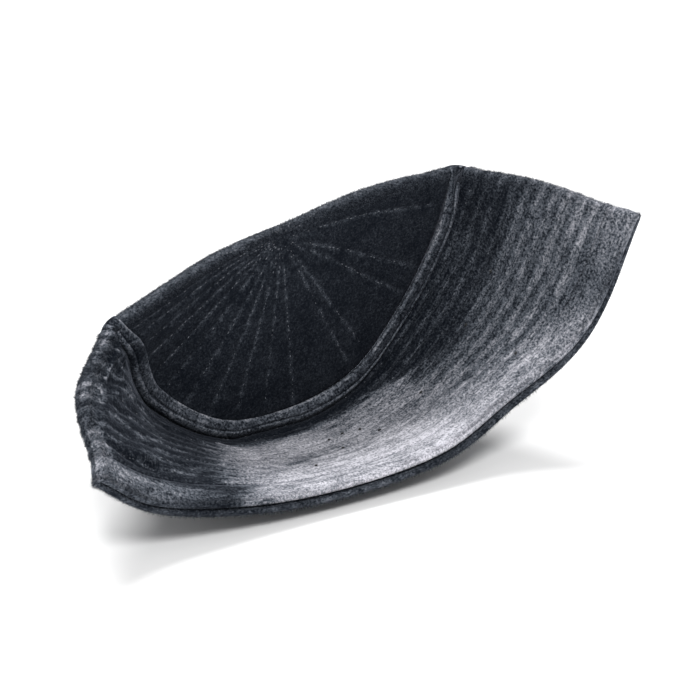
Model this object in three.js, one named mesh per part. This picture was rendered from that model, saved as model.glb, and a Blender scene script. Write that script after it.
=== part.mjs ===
// A velvet kufi, folded for storage: a pillbox cap with a round crown and a straight band.
// One half is pushed into the other, so the cap lies like a boat on the outer half,
// with the pushed-in half and its velvet open to the top.
// Units are millimetres, +Z is up, X runs along the fold and the crown faces +Y.
// Each layer of cloth is worked out from the velvet face of the pushed-in half:
// the fold carries it over to the outer half, which lies one wall and a small gap below.

import * as THREE from "three";

// Cloth
const CROWN_RADIUS = 83.5;
const BAND_HEIGHT = 92;
const WALL = 2.2;
const LAYER_GAP = 1.2;
const FOLD_RADIUS = WALL + LAYER_GAP / 2;
const PIECE_GAP = 0.36;

// Stitched rows round the band, and the turned hem below them
const ROW_COUNT = 11;
const ROWS_TOP = 5;
const HEM_HEIGHT = 14;
const RIB_HEIGHT = 0.6;
const HEM_SWELL = 0.35;

// Seam welt that stands up round the edge of the crown
const WELT_START = -0.7;
const WELT_WIDTH = 5;
const WELT_HEIGHT = 2.6;
const WELT_HEIGHT_AT_FOLD = 0.45;
const WELT_LIFT = 0.35;
const WELT_CHAMFER = 0.8;
const WELT_FADE = 26;

// Crown seam of the pushed-in half, from the left fold to the right fold
const SEAM_STATIONS = [
  { x: -80.4, y: -4, z: 71.4 },
  { x: -69, y: 3, z: 59 },
  { x: -55.5, y: 13, z: 35 },
  { x: -25, y: 13.5, z: 14.3 },
  { x: 10, y: 13.5, z: 11.3 },
  { x: 44.5, y: 11, z: 22 },
  { x: 68, y: 7.5, z: 47.3 },
  { x: 81, y: -1, z: 79.5 },
  { x: 83.5, y: -11, z: 110.6 },
];

// Rim of the pushed-in half, from the left fold to the right fold
const RIM_STATIONS = [
  { x: -127.2, y: -63, z: 37.8 },
  { x: -98.5, y: -61.6, z: 20.4 },
  { x: -43, y: -66, z: 11.2 },
  { x: 20, y: -70.5, z: 14 },
  { x: 59.5, y: -71, z: 28.3 },
  { x: 95.4, y: -79.6, z: 53.5 },
  { x: 115.5, y: -88, z: 101 },
];

const SEAM_LENGTH = 264;
const RIM_LENGTH = 296;

// Middle of the crown's stitching, and the top of the folded crown just above it
const CROWN_CENTRE = new THREE.Vector3(0, 0, 91.7);
const CROWN_TOP = new THREE.Vector3(0, -1, 96.7);
const RIDGE_BOW = 2.1;
const RIDGE_BOW_REACH = 30;
const TOP_SOFTNESS = 0.16;

// The band first runs on past the seam in the crown's plane, then turns a round corner
const CORNER_DROP = 7;
const CORNER_DROP_AT_FOLD = 3;
const CORNER_FADE = 30;
const CORNER_ROUND = 4;

// Swellings of the band: where along it (0 right fold, 1 left fold), how far down (0 seam, 1 rim),
// how far each reaches both ways, and how far it moves the cloth
const SWELLINGS = [
  { along: 1.0, down: 0.45, alongReach: 0.13, downReach: 0.42, x: -8, y: 3, z: 1 },
  { along: 0.0, down: 0.45, alongReach: 0.12, downReach: 0.33, x: 1, y: 0, z: 2.2 },
  { along: 0.5, down: 0.5, alongReach: 0.3, downReach: 0.3, x: 0, y: 0, z: -1.3 },
];

// Folds pushed up in the inner layer at the left end: place, direction, length, width and height
const WRINKLES = [
  { along: 0.93, down: 0.17, turn: 20, length: 30, width: 6, height: 2.6 },
  { along: 0.9, down: 0.4, turn: 55, length: 24, width: 5, height: 2.2 },
  { along: 0.955, down: 0.6, turn: 35, length: 22, width: 5, height: 2.2 },
  { along: 0.86, down: 0.72, turn: 12, length: 34, width: 5, height: 1.6 },
];

// The outer layer bellies down to what the cap lies on, and its rim hangs out a little below the inner one
const BELLY = { depth: 3.1, along: 0.5, alongReach: 0.27, down: 0.5, downReach: 0.34 };
const RIM_OVERHANG = 1.5;

// Places the origin under the middle of the cap
const CENTRE = { x: -4.64, y: -32.33 };

// Mesh density
const COLUMN_RATIO = 1.36;
const COLUMN_FIRST = 1.5;
const COLUMN_LARGEST = 11;
const CROWN_VELVET_RINGS = [0.045, 0.11, 0.2, 0.32, 0.45, 0.58, 0.7, 0.82, 0.92];
const CROWN_LINING_RINGS = [0.06, 0.18, 0.36, 0.56, 0.78];

const VELVET = { color: 0x24262b, roughness: 0.95, metalness: 0 };
const WELT_VELVET = { color: 0x2b2d33, roughness: 0.95, metalness: 0 };

function stationCurve(stations) {
  const points = stations.map(({ x, y, z }) => new THREE.Vector3(x, y, z));
  return new THREE.CatmullRomCurve3(points, false, "catmullrom", 0.5);
}

const seamCurve = stationCurve(SEAM_STATIONS);
const rimCurve = stationCurve(RIM_STATIONS);

function bell(distance, reach) {
  return Math.exp(-((distance / reach) ** 2));
}

function smooth(value) {
  const t = THREE.MathUtils.clamp(value, 0, 1);
  return t * t * (3 - 2 * t);
}

function rowLength(down) {
  return THREE.MathUtils.lerp(SEAM_LENGTH, RIM_LENGTH, down);
}

// Rounds off the point where the crown's slopes meet
function softened(radius) {
  const rounded = (value) => Math.hypot(value, TOP_SOFTNESS) - TOP_SOFTNESS;
  return rounded(radius) / rounded(1);
}

// Velvet face of the pushed-in half of the crown: across runs along the fold, deep runs away from it
function crownFace(across, deep) {
  const radius = Math.hypot(across, deep) / CROWN_RADIUS;
  const along = Math.atan2(deep, across) / Math.PI;
  const seam = seamCurve.getPoint(1 - along);
  const point = CROWN_TOP.clone().lerp(seam, radius);
  point.y = THREE.MathUtils.lerp(CROWN_TOP.y, seam.y, softened(radius));
  const middle = Math.max(0, 4 * radius * (1 - radius));
  point.z += RIDGE_BOW * middle * middle * bell(deep, RIDGE_BOW_REACH);
  return point;
}

// One straight run of the band from seam to rim, turned round the corner below the crown
function bandRun(along, down) {
  const seam = seamCurve.getPoint(1 - along);
  const rim = rimCurve.getPoint(1 - along);
  const outward = seam.clone().sub(CROWN_CENTRE).normalize();
  const fromFold = Math.min(along, 1 - along) * SEAM_LENGTH;
  const drop = THREE.MathUtils.lerp(CORNER_DROP_AT_FOLD, CORNER_DROP, smooth(fromFold / CORNER_FADE));
  const corner = seam.clone().addScaledVector(outward, drop);
  const floor = rim.sub(corner);
  const distance = down * (drop + floor.length());
  floor.normalize();
  const round = Math.min(CORNER_ROUND, 0.8 * drop);
  const past = distance - drop;
  if (Math.abs(past) >= round) {
    return corner.addScaledVector(past < 0 ? outward : floor, past);
  }
  const share = (past + round) / (2 * round);
  corner.addScaledVector(outward, -round * (1 - share) ** 2);
  return corner.addScaledVector(floor, round * share ** 2);
}

// Velvet face of the pushed-in half of the band
function bandFace(arc, down) {
  const along = THREE.MathUtils.clamp(arc / rowLength(down), 0, 1);
  const point = bandRun(along, down);
  const held = Math.sin(Math.PI * THREE.MathUtils.clamp(down, 0, 1));
  for (const swelling of SWELLINGS) {
    const near = bell(along - swelling.along, swelling.alongReach) * bell(down - swelling.down, swelling.downReach);
    point.x += swelling.x * near * held;
    point.y += swelling.y * near * held;
    point.z += swelling.z * near * held;
  }
  return point;
}

// A face is only known from the fold inwards, so a point beyond the fold mirrors one inside it
function beyondFold(face, deep) {
  if (deep >= 0) {
    return face(deep);
  }
  const edge = face(0);
  return edge.multiplyScalar(2).sub(face(-deep));
}

function faceNormal(face, first, second) {
  const step = 0.6;
  const alongFirst = face(first + step, second).sub(face(Math.max(first - step, 0), second));
  const alongSecond = face(first, second + step).sub(face(first, second - step));
  return alongFirst.cross(alongSecond).normalize();
}

function crownNormal(across, deep) {
  const safe = Math.max(deep, 1.2);
  return faceNormal((d, a) => crownFace(a, d), safe, across);
}

function bandNormal(arc, down) {
  const length = rowLength(down);
  const safe = THREE.MathUtils.clamp(arc, 1.2, length - 1.2);
  return faceNormal((a, d) => bandFace(a, d / BAND_HEIGHT), safe, down * BAND_HEIGHT);
}

// Carries a point over the fold: reach is its distance from the fold along the cloth,
// height its distance from the fold's centre, side +1 inner layer and -1 outer layer
function overFold(reach, height, side) {
  const quarter = (Math.PI / 2) * FOLD_RADIUS;
  if (reach < quarter) {
    const angle = reach / FOLD_RADIUS;
    return {
      deep: FOLD_RADIUS - height * Math.cos(angle),
      offset: -FOLD_RADIUS + side * height * Math.sin(angle),
    };
  }
  const lost = quarter - FOLD_RADIUS;
  const fade = 1 - smooth((reach - quarter) / 40);
  return { deep: reach - lost * fade, offset: -FOLD_RADIUS + side * height };
}

// Lowest that each face may lie where the surface below presses the layers flat
function restHeight(height, side) {
  return side > 0 ? FOLD_RADIUS + height : Math.max(FOLD_RADIUS - height, 0);
}

function pressed(point, height, side) {
  point.z = Math.max(point.z, restHeight(height, side));
  return point;
}

// Point of the crown at a ring (0 top, 1 seam) and a turn round it, height from the fold's centre
function crownPoint({ ring, turn, height }) {
  const side = turn < Math.PI ? 1 : -1;
  const angle = side > 0 ? turn : 2 * Math.PI - turn;
  const across = ring * CROWN_RADIUS * Math.cos(angle);
  const reach = Math.abs(ring * CROWN_RADIUS * Math.sin(angle));
  const { deep, offset } = overFold(reach, height, side);
  const point = beyondFold((distance) => crownFace(across, distance), deep);
  point.addScaledVector(crownNormal(across, deep), offset);
  return pressed(point, height, side);
}

function bellyDepth(along, down) {
  const acrossPart = bell(along - BELLY.along, BELLY.alongReach);
  const downPart = bell(down - BELLY.down, BELLY.downReach);
  return BELLY.depth * acrossPart * downPart * Math.sin(Math.PI * THREE.MathUtils.clamp(down, 0, 1));
}

function wrinkleHeight(along, down) {
  let height = 0;
  for (const wrinkle of WRINKLES) {
    const right = (along - wrinkle.along) * rowLength(down);
    const below = (down - wrinkle.down) * BAND_HEIGHT;
    const turn = THREE.MathUtils.degToRad(wrinkle.turn);
    const lengthwise = right * Math.cos(turn) + below * Math.sin(turn);
    const crosswise = below * Math.cos(turn) - right * Math.sin(turn);
    height += wrinkle.height * bell(lengthwise, wrinkle.length / 2) * bell(crosswise, wrinkle.width);
  }
  return height;
}

// Point of the band, welt or hem: down is 0 at the seam and 1 at the rim
function bandPoint({ down, turn, height }) {
  const side = turn < Math.PI ? 1 : -1;
  const along = (side > 0 ? turn : 2 * Math.PI - turn) / Math.PI;
  const away = Math.sin(Math.PI * along);
  const level = side > 0 ? down : down * (1 + (RIM_OVERHANG * away) / BAND_HEIGHT);
  const length = rowLength(level);
  const nearRight = along < 0.5;
  const reach = (nearRight ? along : 1 - along) * length;
  const { deep, offset } = overFold(reach, height, side);
  const point = beyondFold((distance) => bandFace(nearRight ? distance : length - distance, level), deep);
  const normal = bandNormal(nearRight ? deep : length - deep, level);
  const settled = smooth((reach - 6) / 14);
  const lift = side > 0 ? wrinkleHeight(along, level) : -bellyDepth(along, level);
  point.addScaledVector(normal, offset + lift * settled);
  return pressed(point, height, side);
}

// Places round the cap, close together near the two folds
function columnTurns() {
  const half = [];
  let place = 0;
  let step = COLUMN_FIRST;
  while (place < SEAM_LENGTH / 2) {
    half.push(place);
    place += step;
    step = Math.min(step * COLUMN_RATIO, COLUMN_LARGEST);
  }
  const quarter = half.map((reach) => ((reach / half.at(-1)) * Math.PI) / 2);
  const turns = [...quarter, ...quarter.slice(0, -1).reverse().map((turn) => Math.PI - turn)];
  return [...turns, ...turns.slice(1, -1).map((turn) => Math.PI + turn)];
}

const TURNS = columnTurns();

class Skin {
  constructor() {
    this.positions = [];
    this.indices = [];
  }

  add(point) {
    this.positions.push(point.x - CENTRE.x, point.y - CENTRE.y, point.z);
    return this.positions.length / 3 - 1;
  }

  ring(pointAt) {
    return TURNS.map((turn) => this.add(pointAt(turn)));
  }

  bridge(upper, lower) {
    upper.forEach((first, i) => {
      const next = (i + 1) % upper.length;
      this.indices.push(first, upper[next], lower[i]);
      this.indices.push(upper[next], lower[next], lower[i]);
    });
  }

  fan(tip, rim, flip) {
    rim.forEach((first, i) => {
      const second = rim[(i + 1) % rim.length];
      this.indices.push(...(flip ? [tip, second, first] : [tip, first, second]));
    });
  }

  mesh(name, finish) {
    const geometry = new THREE.BufferGeometry();
    geometry.setAttribute("position", new THREE.Float32BufferAttribute(this.positions, 3));
    geometry.setIndex(this.indices);
    geometry.computeVertexNormals();
    const mesh = new THREE.Mesh(geometry, new THREE.MeshStandardMaterial(finish));
    mesh.name = name;
    return mesh;
  }
}

const VELVET_SIDE = FOLD_RADIUS;
const LINING_SIDE = FOLD_RADIUS - WALL;

function makeCrown() {
  const skin = new Skin();
  const edge = 1 - PIECE_GAP / 2 / CROWN_RADIUS;
  const at = (ring, height) => (turn) => crownPoint({ ring, turn, height });
  const velvet = [...CROWN_VELVET_RINGS, edge].map((ring) => skin.ring(at(ring, VELVET_SIDE)));
  const lining = [...CROWN_LINING_RINGS, edge].map((ring) => skin.ring(at(ring, LINING_SIDE)));
  const velvetTip = skin.add(at(0, VELVET_SIDE)(0));
  const liningTip = skin.add(at(0, LINING_SIDE)(0));
  skin.fan(velvetTip, velvet[0], true);
  velvet.slice(1).forEach((ring, i) => skin.bridge(velvet[i], ring));
  skin.bridge(velvet.at(-1), lining.at(-1));
  lining.slice(1).forEach((ring, i) => skin.bridge(ring, lining[i]));
  skin.fan(liningTip, lining[0], false);
  return skin.mesh("crown", VELVET);
}

function makeClothRing(name, finish, velvetLevels, liningLevels, swell) {
  const skin = new Skin();
  const at = (down, height) => (turn) => bandPoint({ down, turn, height });
  const velvet = velvetLevels.map((down) => skin.ring(at(down, VELVET_SIDE + swell(down))));
  const lining = liningLevels.map((down) => skin.ring(at(down, LINING_SIDE)));
  velvet.slice(1).forEach((ring, i) => skin.bridge(velvet[i], ring));
  skin.bridge(velvet.at(-1), lining.at(-1));
  lining.slice(1).forEach((ring, i) => skin.bridge(ring, lining[i]));
  skin.bridge(lining[0], velvet[0]);
  return skin.mesh(name, finish);
}

function evenLevels(from, to, steps) {
  return Array.from({ length: steps + 1 }, (_, i) => THREE.MathUtils.lerp(from, to, i / steps));
}

const BAND_TOP = PIECE_GAP / 2 / BAND_HEIGHT;
const HEM_TOP = 1 - HEM_HEIGHT / BAND_HEIGHT;
const BAND_END = HEM_TOP - PIECE_GAP / BAND_HEIGHT;

function makeBand() {
  const firstRow = ROWS_TOP / BAND_HEIGHT;
  const rowPhase = (down) => Math.max(0, (down - firstRow) / (BAND_END - firstRow)) * ROW_COUNT;
  const rib = (down) => RIB_HEIGHT * Math.abs(Math.sin(Math.PI * rowPhase(down)));
  const velvetLevels = [BAND_TOP, ...evenLevels(firstRow, BAND_END, 2 * ROW_COUNT)];
  const liningLevels = evenLevels(BAND_TOP, BAND_END, 12);
  return makeClothRing("band", VELVET, velvetLevels, liningLevels, rib);
}

function makeHem() {
  const velvetLevels = [HEM_TOP, HEM_TOP + 0.02, 0.93, 0.985, 1];
  const liningLevels = [HEM_TOP, 0.94, 1];
  const swell = (down) => HEM_SWELL * Math.sin(Math.PI * smooth((down - HEM_TOP) / (1 - HEM_TOP)));
  return makeClothRing("hem", VELVET, velvetLevels, liningLevels, swell);
}

function makeWelt() {
  const skin = new Skin();
  const section = [
    { across: 0, share: 0 },
    { across: 0, share: 0.7 },
    { across: WELT_CHAMFER, share: 1 },
    { across: WELT_WIDTH - WELT_CHAMFER, share: 1 },
    { across: WELT_WIDTH, share: 0.7 },
    { across: WELT_WIDTH, share: 0 },
  ];
  const heightAt = (turn) => {
    const reach = (Math.asin(Math.abs(Math.sin(turn))) / Math.PI) * SEAM_LENGTH;
    return THREE.MathUtils.lerp(WELT_HEIGHT_AT_FOLD, WELT_HEIGHT, smooth(reach / WELT_FADE));
  };
  const foot = VELVET_SIDE + WELT_LIFT;
  const rings = section.map(({ across, share }) => {
    const down = (WELT_START + across) / BAND_HEIGHT;
    return skin.ring((turn) => bandPoint({ down, turn, height: foot + share * heightAt(turn) }));
  });
  rings.forEach((ring, i) => skin.bridge(ring, rings[(i + 1) % rings.length]));
  return skin.mesh("seam_welt", WELT_VELVET);
}

const cap = new THREE.Group();
cap.add(makeCrown(), makeWelt(), makeBand(), makeHem());

export default cap;
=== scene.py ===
"""A black velvet kufi, folded in half for storage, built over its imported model.

One half of the cap is pushed into the other. Every layer of cloth is worked out from the velvet
face of the pushed-in half, and the fold carries it over to the outer half that lies below it.
Sizes are in millimetres until a mesh is made, which is in metres.

A place on the crown is a ring, from 0 at its middle to 1 at its seam, and a turn. A place on the
band is down, from 0 at the seam to 1 at the rim, and a turn. A turn is the angle round the cap,
from the right fold over the pushed-in half. Along is the place round one half, from 0 at the
right fold to 1 at the left.
"""

import logging
import math
from dataclasses import dataclass, field
from enum import Enum

import bpy
import numpy as np
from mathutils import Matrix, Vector


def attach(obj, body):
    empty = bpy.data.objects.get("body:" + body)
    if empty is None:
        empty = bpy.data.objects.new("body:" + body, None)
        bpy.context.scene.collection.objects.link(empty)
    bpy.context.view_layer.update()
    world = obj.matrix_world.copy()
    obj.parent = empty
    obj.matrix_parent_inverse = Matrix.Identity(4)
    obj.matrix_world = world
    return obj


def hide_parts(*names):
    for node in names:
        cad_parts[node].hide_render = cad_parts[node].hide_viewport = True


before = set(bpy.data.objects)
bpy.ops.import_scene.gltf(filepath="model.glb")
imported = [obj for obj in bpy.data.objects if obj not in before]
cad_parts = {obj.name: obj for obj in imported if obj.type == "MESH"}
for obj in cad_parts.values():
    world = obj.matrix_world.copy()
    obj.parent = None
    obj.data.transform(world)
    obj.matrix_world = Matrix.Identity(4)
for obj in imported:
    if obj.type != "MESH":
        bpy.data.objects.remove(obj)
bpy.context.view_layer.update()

LOG = logging.getLogger("kufi")
MM = 0.001
UV_PER_MM = 0.01
SEED = 11
NOISE_CELLS = 64
SMALL_TURN = 0.004


class Layer(Enum):
    """The two sides of a piece of cloth."""

    VELVET = 1
    LINING = 2


def linear(hex_colour: str) -> tuple[float, float, float, float]:
    """Turns an sRGB hex colour into the linear values that a shader takes.

    Args:
        hex_colour: Six hex digits with a leading #.

    Returns:
        Red, green, blue and an alpha of 1.
    """
    values = [int(hex_colour[i : i + 2], 16) / 255 for i in (1, 3, 5)]
    curved = [v / 12.92 if v <= 0.04045 else ((v + 0.055) / 1.055) ** 2.4 for v in values]
    return (curved[0], curved[1], curved[2], 1.0)


def bell(distance: np.ndarray, reach: float) -> np.ndarray:
    """Falls from 1 at no distance to about a third at the reach."""
    return np.exp(-((distance / reach) ** 2))


def smooth(value: np.ndarray) -> np.ndarray:
    """Rises from 0 to 1 with level ends."""
    held = np.clip(value, 0.0, 1.0)
    return held * held * (3 - 2 * held)


def unit(vectors: np.ndarray) -> np.ndarray:
    """Gives each vector a length of 1."""
    return vectors / np.maximum(np.linalg.norm(vectors, axis=-1, keepdims=True), 1e-9)


def through(stations: np.ndarray, share: np.ndarray) -> np.ndarray:
    """Runs a smooth curve through stations.

    Args:
        stations: Points in order, one a row.
        share: Places on the curve, from 0 at the first station to 1 at the last.

    Returns:
        One point for each place.
    """
    ends = [2 * stations[0] - stations[1], *stations, 2 * stations[-1] - stations[-2]]
    points = np.array(ends)
    spans = len(stations) - 1
    place = np.clip(share, 0.0, 1.0) * spans
    start = np.minimum(place.astype(int), spans - 1)
    t = (place - start)[..., None]
    before, first, second, after = (points[start + k] for k in range(4))
    leave = 0.5 * (second - before)
    arrive = 0.5 * (after - first)
    cubic = 2 * first - 2 * second + leave + arrive
    square = -3 * first + 3 * second - 2 * leave - arrive
    return ((cubic * t + square) * t + leave) * t + first


def value_noise(x: np.ndarray, y: np.ndarray, seed: int) -> np.ndarray:
    """Smooth random waves between -1 and 1, the same on every run.

    Args:
        x: First coordinate, in cells of the noise.
        y: Second coordinate, in cells of the noise.
        seed: Picks one of many patterns.

    Returns:
        One value for each place.
    """
    cells = NOISE_CELLS
    table = np.random.default_rng(seed).uniform(-1, 1, (cells, cells))
    x0 = np.floor(x).astype(int)
    y0 = np.floor(y).astype(int)
    fx = smooth(x - x0)
    fy = smooth(y - y0)
    corner = [[table[(x0 + i) % cells, (y0 + j) % cells] for j in (0, 1)] for i in (0, 1)]
    low = corner[0][0] * (1 - fx) + corner[1][0] * fx
    high = corner[0][1] * (1 - fx) + corner[1][1] * fx
    return low * (1 - fy) + high * fy


def flat_place(radius: np.ndarray, turn: np.ndarray) -> np.ndarray:
    """Turns a radius and an angle into a place on the flat crown."""
    return np.stack([np.cos(turn), np.sin(turn)], -1) * radius[..., None]


def from_run(spot: np.ndarray, start: np.ndarray, end: np.ndarray) -> tuple[np.ndarray, np.ndarray]:
    """Measures how far places are from a straight line.

    Args:
        spot: The places, flat.
        start: Where the line starts.
        end: Where it ends.

    Returns:
        The distance of each place, and the share of the line at which it is nearest.
    """
    run = end - start
    share = np.clip(((spot - start) @ run) / (run @ run), 0, 1)
    return np.linalg.norm(spot - start - share[..., None] * run, axis=-1), share


@dataclass(frozen=True)
class Grain:
    """Unevenness of one size: how wide and deep its spots are in millimetres, and how strong."""

    wide: float
    deep: float
    seed: int
    share: float = 1.0

    def at(self, x: np.ndarray, y: np.ndarray) -> np.ndarray:
        """Its value at places given in millimetres."""
        return self.share * value_noise(x / self.wide, y / self.deep, SEED + self.seed)


@dataclass(frozen=True)
class Swelling:
    """A broad bulge of the band: its place, how far it reaches both ways, and its move in mm."""

    along: float
    down: float
    along_reach: float
    down_reach: float
    move: tuple[float, float, float]


@dataclass(frozen=True)
class Wrinkle:
    """A ridge pushed up in the cloth: its place, direction in degrees, length, width and height."""

    along: float
    down: float
    turn: float
    length: float
    width: float
    height: float


@dataclass(frozen=True)
class FoldedShape:
    """The faces of the folded cap, in millimetres.

    The stations of the seam and of the rim are points of the pushed-in half, from the left fold
    to the right one.
    """

    crown_radius: float = 83.5
    band_height: float = 92.0
    wall: float = 2.2
    layer_gap: float = 1.2
    piece_gap: float = 0.36
    hem_height: float = 14.0
    hem_gap: float = 0.06
    rows_top: float = 5.0
    row_count: int = 11
    seam_length: float = 264.0
    rim_length: float = 296.0
    seam_stations: tuple[tuple[float, float, float], ...] = (
        (-80.4, -4, 71.4),
        (-69, 3, 59),
        (-55.5, 13, 35),
        (-25, 13.5, 14.3),
        (10, 13.5, 11.3),
        (44.5, 11, 22),
        (68, 7.5, 47.3),
        (81, -1, 79.5),
        (83.5, -11, 110.6),
    )
    rim_stations: tuple[tuple[float, float, float], ...] = (
        (-127.2, -63, 37.8),
        (-98.5, -61.6, 20.4),
        (-43, -66, 11.2),
        (20, -70.5, 14),
        (59.5, -71, 28.3),
        (95.4, -79.6, 53.5),
        (115.5, -88, 101),
    )
    crown_centre: tuple[float, float, float] = (0, 0, 91.7)
    crown_top: tuple[float, float, float] = (0, -1, 96.7)
    top_softness: float = 0.16
    ridge_bow: float = 2.1
    ridge_bow_reach: float = 30.0
    corner_drop: float = 7.0
    corner_drop_at_fold: float = 3.0
    corner_fade: float = 30.0
    corner_round: float = 4.0
    corner_share: float = 0.8
    belly_depth: float = 3.1
    belly_along: float = 0.27
    belly_down: float = 0.34
    rim_overhang: float = 1.5
    fold_fade: float = 40.0
    settled_from: float = 6.0
    settled_over: float = 14.0
    slope_step: float = 0.6
    slope_margin: float = 1.2
    centre: tuple[float, float, float] = (-4.64, -32.33, 0)
    swellings: tuple[Swelling, ...] = (
        Swelling(1.0, 0.45, 0.13, 0.42, (-8, 3, 1)),
        Swelling(0.0, 0.45, 0.12, 0.33, (1, 0, 2.2)),
        Swelling(0.5, 0.5, 0.3, 0.3, (0, 0, -1.3)),
    )
    wrinkles: tuple[Wrinkle, ...] = (
        Wrinkle(0.93, 0.17, 20, 30, 6, 2.6),
        Wrinkle(0.9, 0.4, 55, 24, 5, 2.2),
        Wrinkle(0.955, 0.6, 35, 22, 5, 2.2),
        Wrinkle(0.86, 0.72, 12, 34, 5, 1.6),
    )

    @property
    def fold_radius(self) -> float:
        """From the middle of the slit between the halves to the velvet."""
        return self.wall + self.layer_gap / 2

    @property
    def band_top(self) -> float:
        """Where the band starts below the seam, as a share of its height."""
        return self.piece_gap / 2 / self.band_height

    @property
    def hem_top(self) -> float:
        """Where the hem starts, as a share of the band's height."""
        return 1 - self.hem_height / self.band_height

    @property
    def band_end(self) -> float:
        """Where the rows stop above the hem, as a share of the band's height."""
        return self.hem_top - self.hem_gap / self.band_height

    def face_height(self, layer: Layer) -> float:
        """Height of one side of the cloth over the middle of the slit."""
        return self.fold_radius if layer is Layer.VELVET else self.fold_radius - self.wall

    def row_length(self, down: np.ndarray) -> np.ndarray:
        """Length of one half's row at a height on the band."""
        return self.seam_length + (self.rim_length - self.seam_length) * down

    def share_round(self, turn: np.ndarray) -> np.ndarray:
        """Place round the half that a turn lies in, 0 at the right fold and 1 at the left."""
        return np.where(turn < math.pi, turn, 2 * math.pi - turn) / math.pi

    def crown_face(self, across: np.ndarray, deep: np.ndarray) -> np.ndarray:
        """Velvet face of the pushed-in half of the crown.

        Args:
            across: Distance along the fold from the crown's middle, towards the right end.
            deep: Distance from the fold.

        Returns:
            One point for each place.
        """
        radius = np.hypot(across, deep) / self.crown_radius
        along = np.arctan2(deep, across) / math.pi
        top = np.array(self.crown_top, float)
        seam = through(np.array(self.seam_stations, float), 1 - along)
        point = top + (seam - top) * radius[..., None]
        soft = self.top_softness
        rounded = (np.hypot(radius, soft) - soft) / (math.hypot(1, soft) - soft)
        point[..., 1] = top[1] + (seam[..., 1] - top[1]) * rounded
        middle = np.maximum(0.0, 4 * radius * (1 - radius))
        point[..., 2] += self.ridge_bow * middle**2 * bell(deep, self.ridge_bow_reach)
        return point

    def band_run(self, along: np.ndarray, down: np.ndarray) -> np.ndarray:
        """Runs the band from seam to rim, round the corner below the crown.

        Args:
            along: Place round the half.
            down: Place on the band.

        Returns:
            One point for each place.
        """
        seam = through(np.array(self.seam_stations, float), 1 - along)
        rim = through(np.array(self.rim_stations, float), 1 - along)
        outward = unit(seam - np.array(self.crown_centre, float))
        from_fold = np.minimum(along, 1 - along) * self.seam_length
        share = smooth(from_fold / self.corner_fade)
        drop = self.corner_drop_at_fold + (self.corner_drop - self.corner_drop_at_fold) * share
        corner = seam + outward * drop[..., None]
        floor = rim - corner
        floor_length = np.linalg.norm(floor, axis=-1)
        floor = unit(floor)
        distance = down * (drop + floor_length)
        bend = np.minimum(self.corner_round, self.corner_share * drop)
        past = distance - drop
        straight = np.where((past < 0)[..., None], outward, floor) * past[..., None]
        turned = np.clip((past + bend) / (2 * bend), 0, 1)
        curved = -outward * (bend * (1 - turned) ** 2)[..., None]
        curved += floor * (bend * turned**2)[..., None]
        return corner + np.where((np.abs(past) >= bend)[..., None], straight, curved)

    def band_face(self, arc: np.ndarray, down: np.ndarray) -> np.ndarray:
        """Velvet face of the pushed-in half of the band.

        Args:
            arc: Distance along the row from the right fold.
            down: Place on the band.

        Returns:
            One point for each place.
        """
        along = np.clip(arc / self.row_length(down), 0, 1)
        point = self.band_run(along, down)
        held = np.sin(math.pi * np.clip(down, 0, 1))
        for swelling in self.swellings:
            near = bell(along - swelling.along, swelling.along_reach)
            near = near * bell(down - swelling.down, swelling.down_reach) * held
            point = point + near[..., None] * np.array(swelling.move, float)
        return point

    def crown_normal(self, across: np.ndarray, deep: np.ndarray) -> np.ndarray:
        """Finds the way out of the crown's velvet face.

        Args:
            across: Distance along the fold from the crown's middle, towards the right end.
            deep: Distance from the fold.

        Returns:
            One unit vector for each place.
        """
        step = self.slope_step
        safe = np.maximum(deep, self.slope_margin)
        before = self.crown_face(across, np.maximum(safe - step, 0))
        inward = self.crown_face(across, safe + step) - before
        sideways = self.crown_face(across + step, safe) - self.crown_face(across - step, safe)
        return unit(np.cross(inward, sideways))

    def band_normal(self, arc: np.ndarray, down: np.ndarray) -> np.ndarray:
        """Finds the way out of the band's velvet face.

        Args:
            arc: Distance along the row from the right fold.
            down: Place on the band.

        Returns:
            One unit vector for each place.
        """
        step = self.slope_step
        fall = step / self.band_height
        safe = np.clip(arc, self.slope_margin, self.row_length(down) - self.slope_margin)
        sideways = self.band_face(safe + step, down) - self.band_face(np.maximum(safe - step, 0), down)
        inward = self.band_face(safe, down + fall) - self.band_face(safe, down - fall)
        return unit(np.cross(sideways, inward))

    def over_fold(
        self, reach: np.ndarray, height: np.ndarray, side: np.ndarray
    ) -> tuple[np.ndarray, np.ndarray]:
        """Carries points over the fold.

        Args:
            reach: Distance from the fold, measured along the cloth.
            height: Distance from the middle of the slit.
            side: 1 on the pushed-in half and -1 on the outer half.

        Returns:
            How deep each point lies from the fold, and how far it stands off the velvet face.
        """
        radius = self.fold_radius
        quarter = math.pi / 2 * radius
        angle = np.minimum(reach / radius, math.pi / 2)
        fade = 1 - smooth((reach - quarter) / self.fold_fade)
        turning = reach < quarter
        deep = np.where(turning, radius - height * np.cos(angle), reach - (quarter - radius) * fade)
        offset = -radius + side * height * np.where(turning, np.sin(angle), 1.0)
        return deep, offset

    def pressed(self, point: np.ndarray, height: np.ndarray, side: np.ndarray) -> np.ndarray:
        """Keeps each face above what presses it flat from below.

        Args:
            point: The points, with the surface that the cap lies on at 0.
            height: Distance of each from the middle of the slit.
            side: 1 on the pushed-in half and -1 on the outer half.

        Returns:
            The same points, lifted where they were too low.
        """
        inner = self.fold_radius + height
        outer = np.maximum(self.fold_radius - height, 0)
        point[..., 2] = np.maximum(point[..., 2], np.where(side > 0, inner, outer))
        return point

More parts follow.
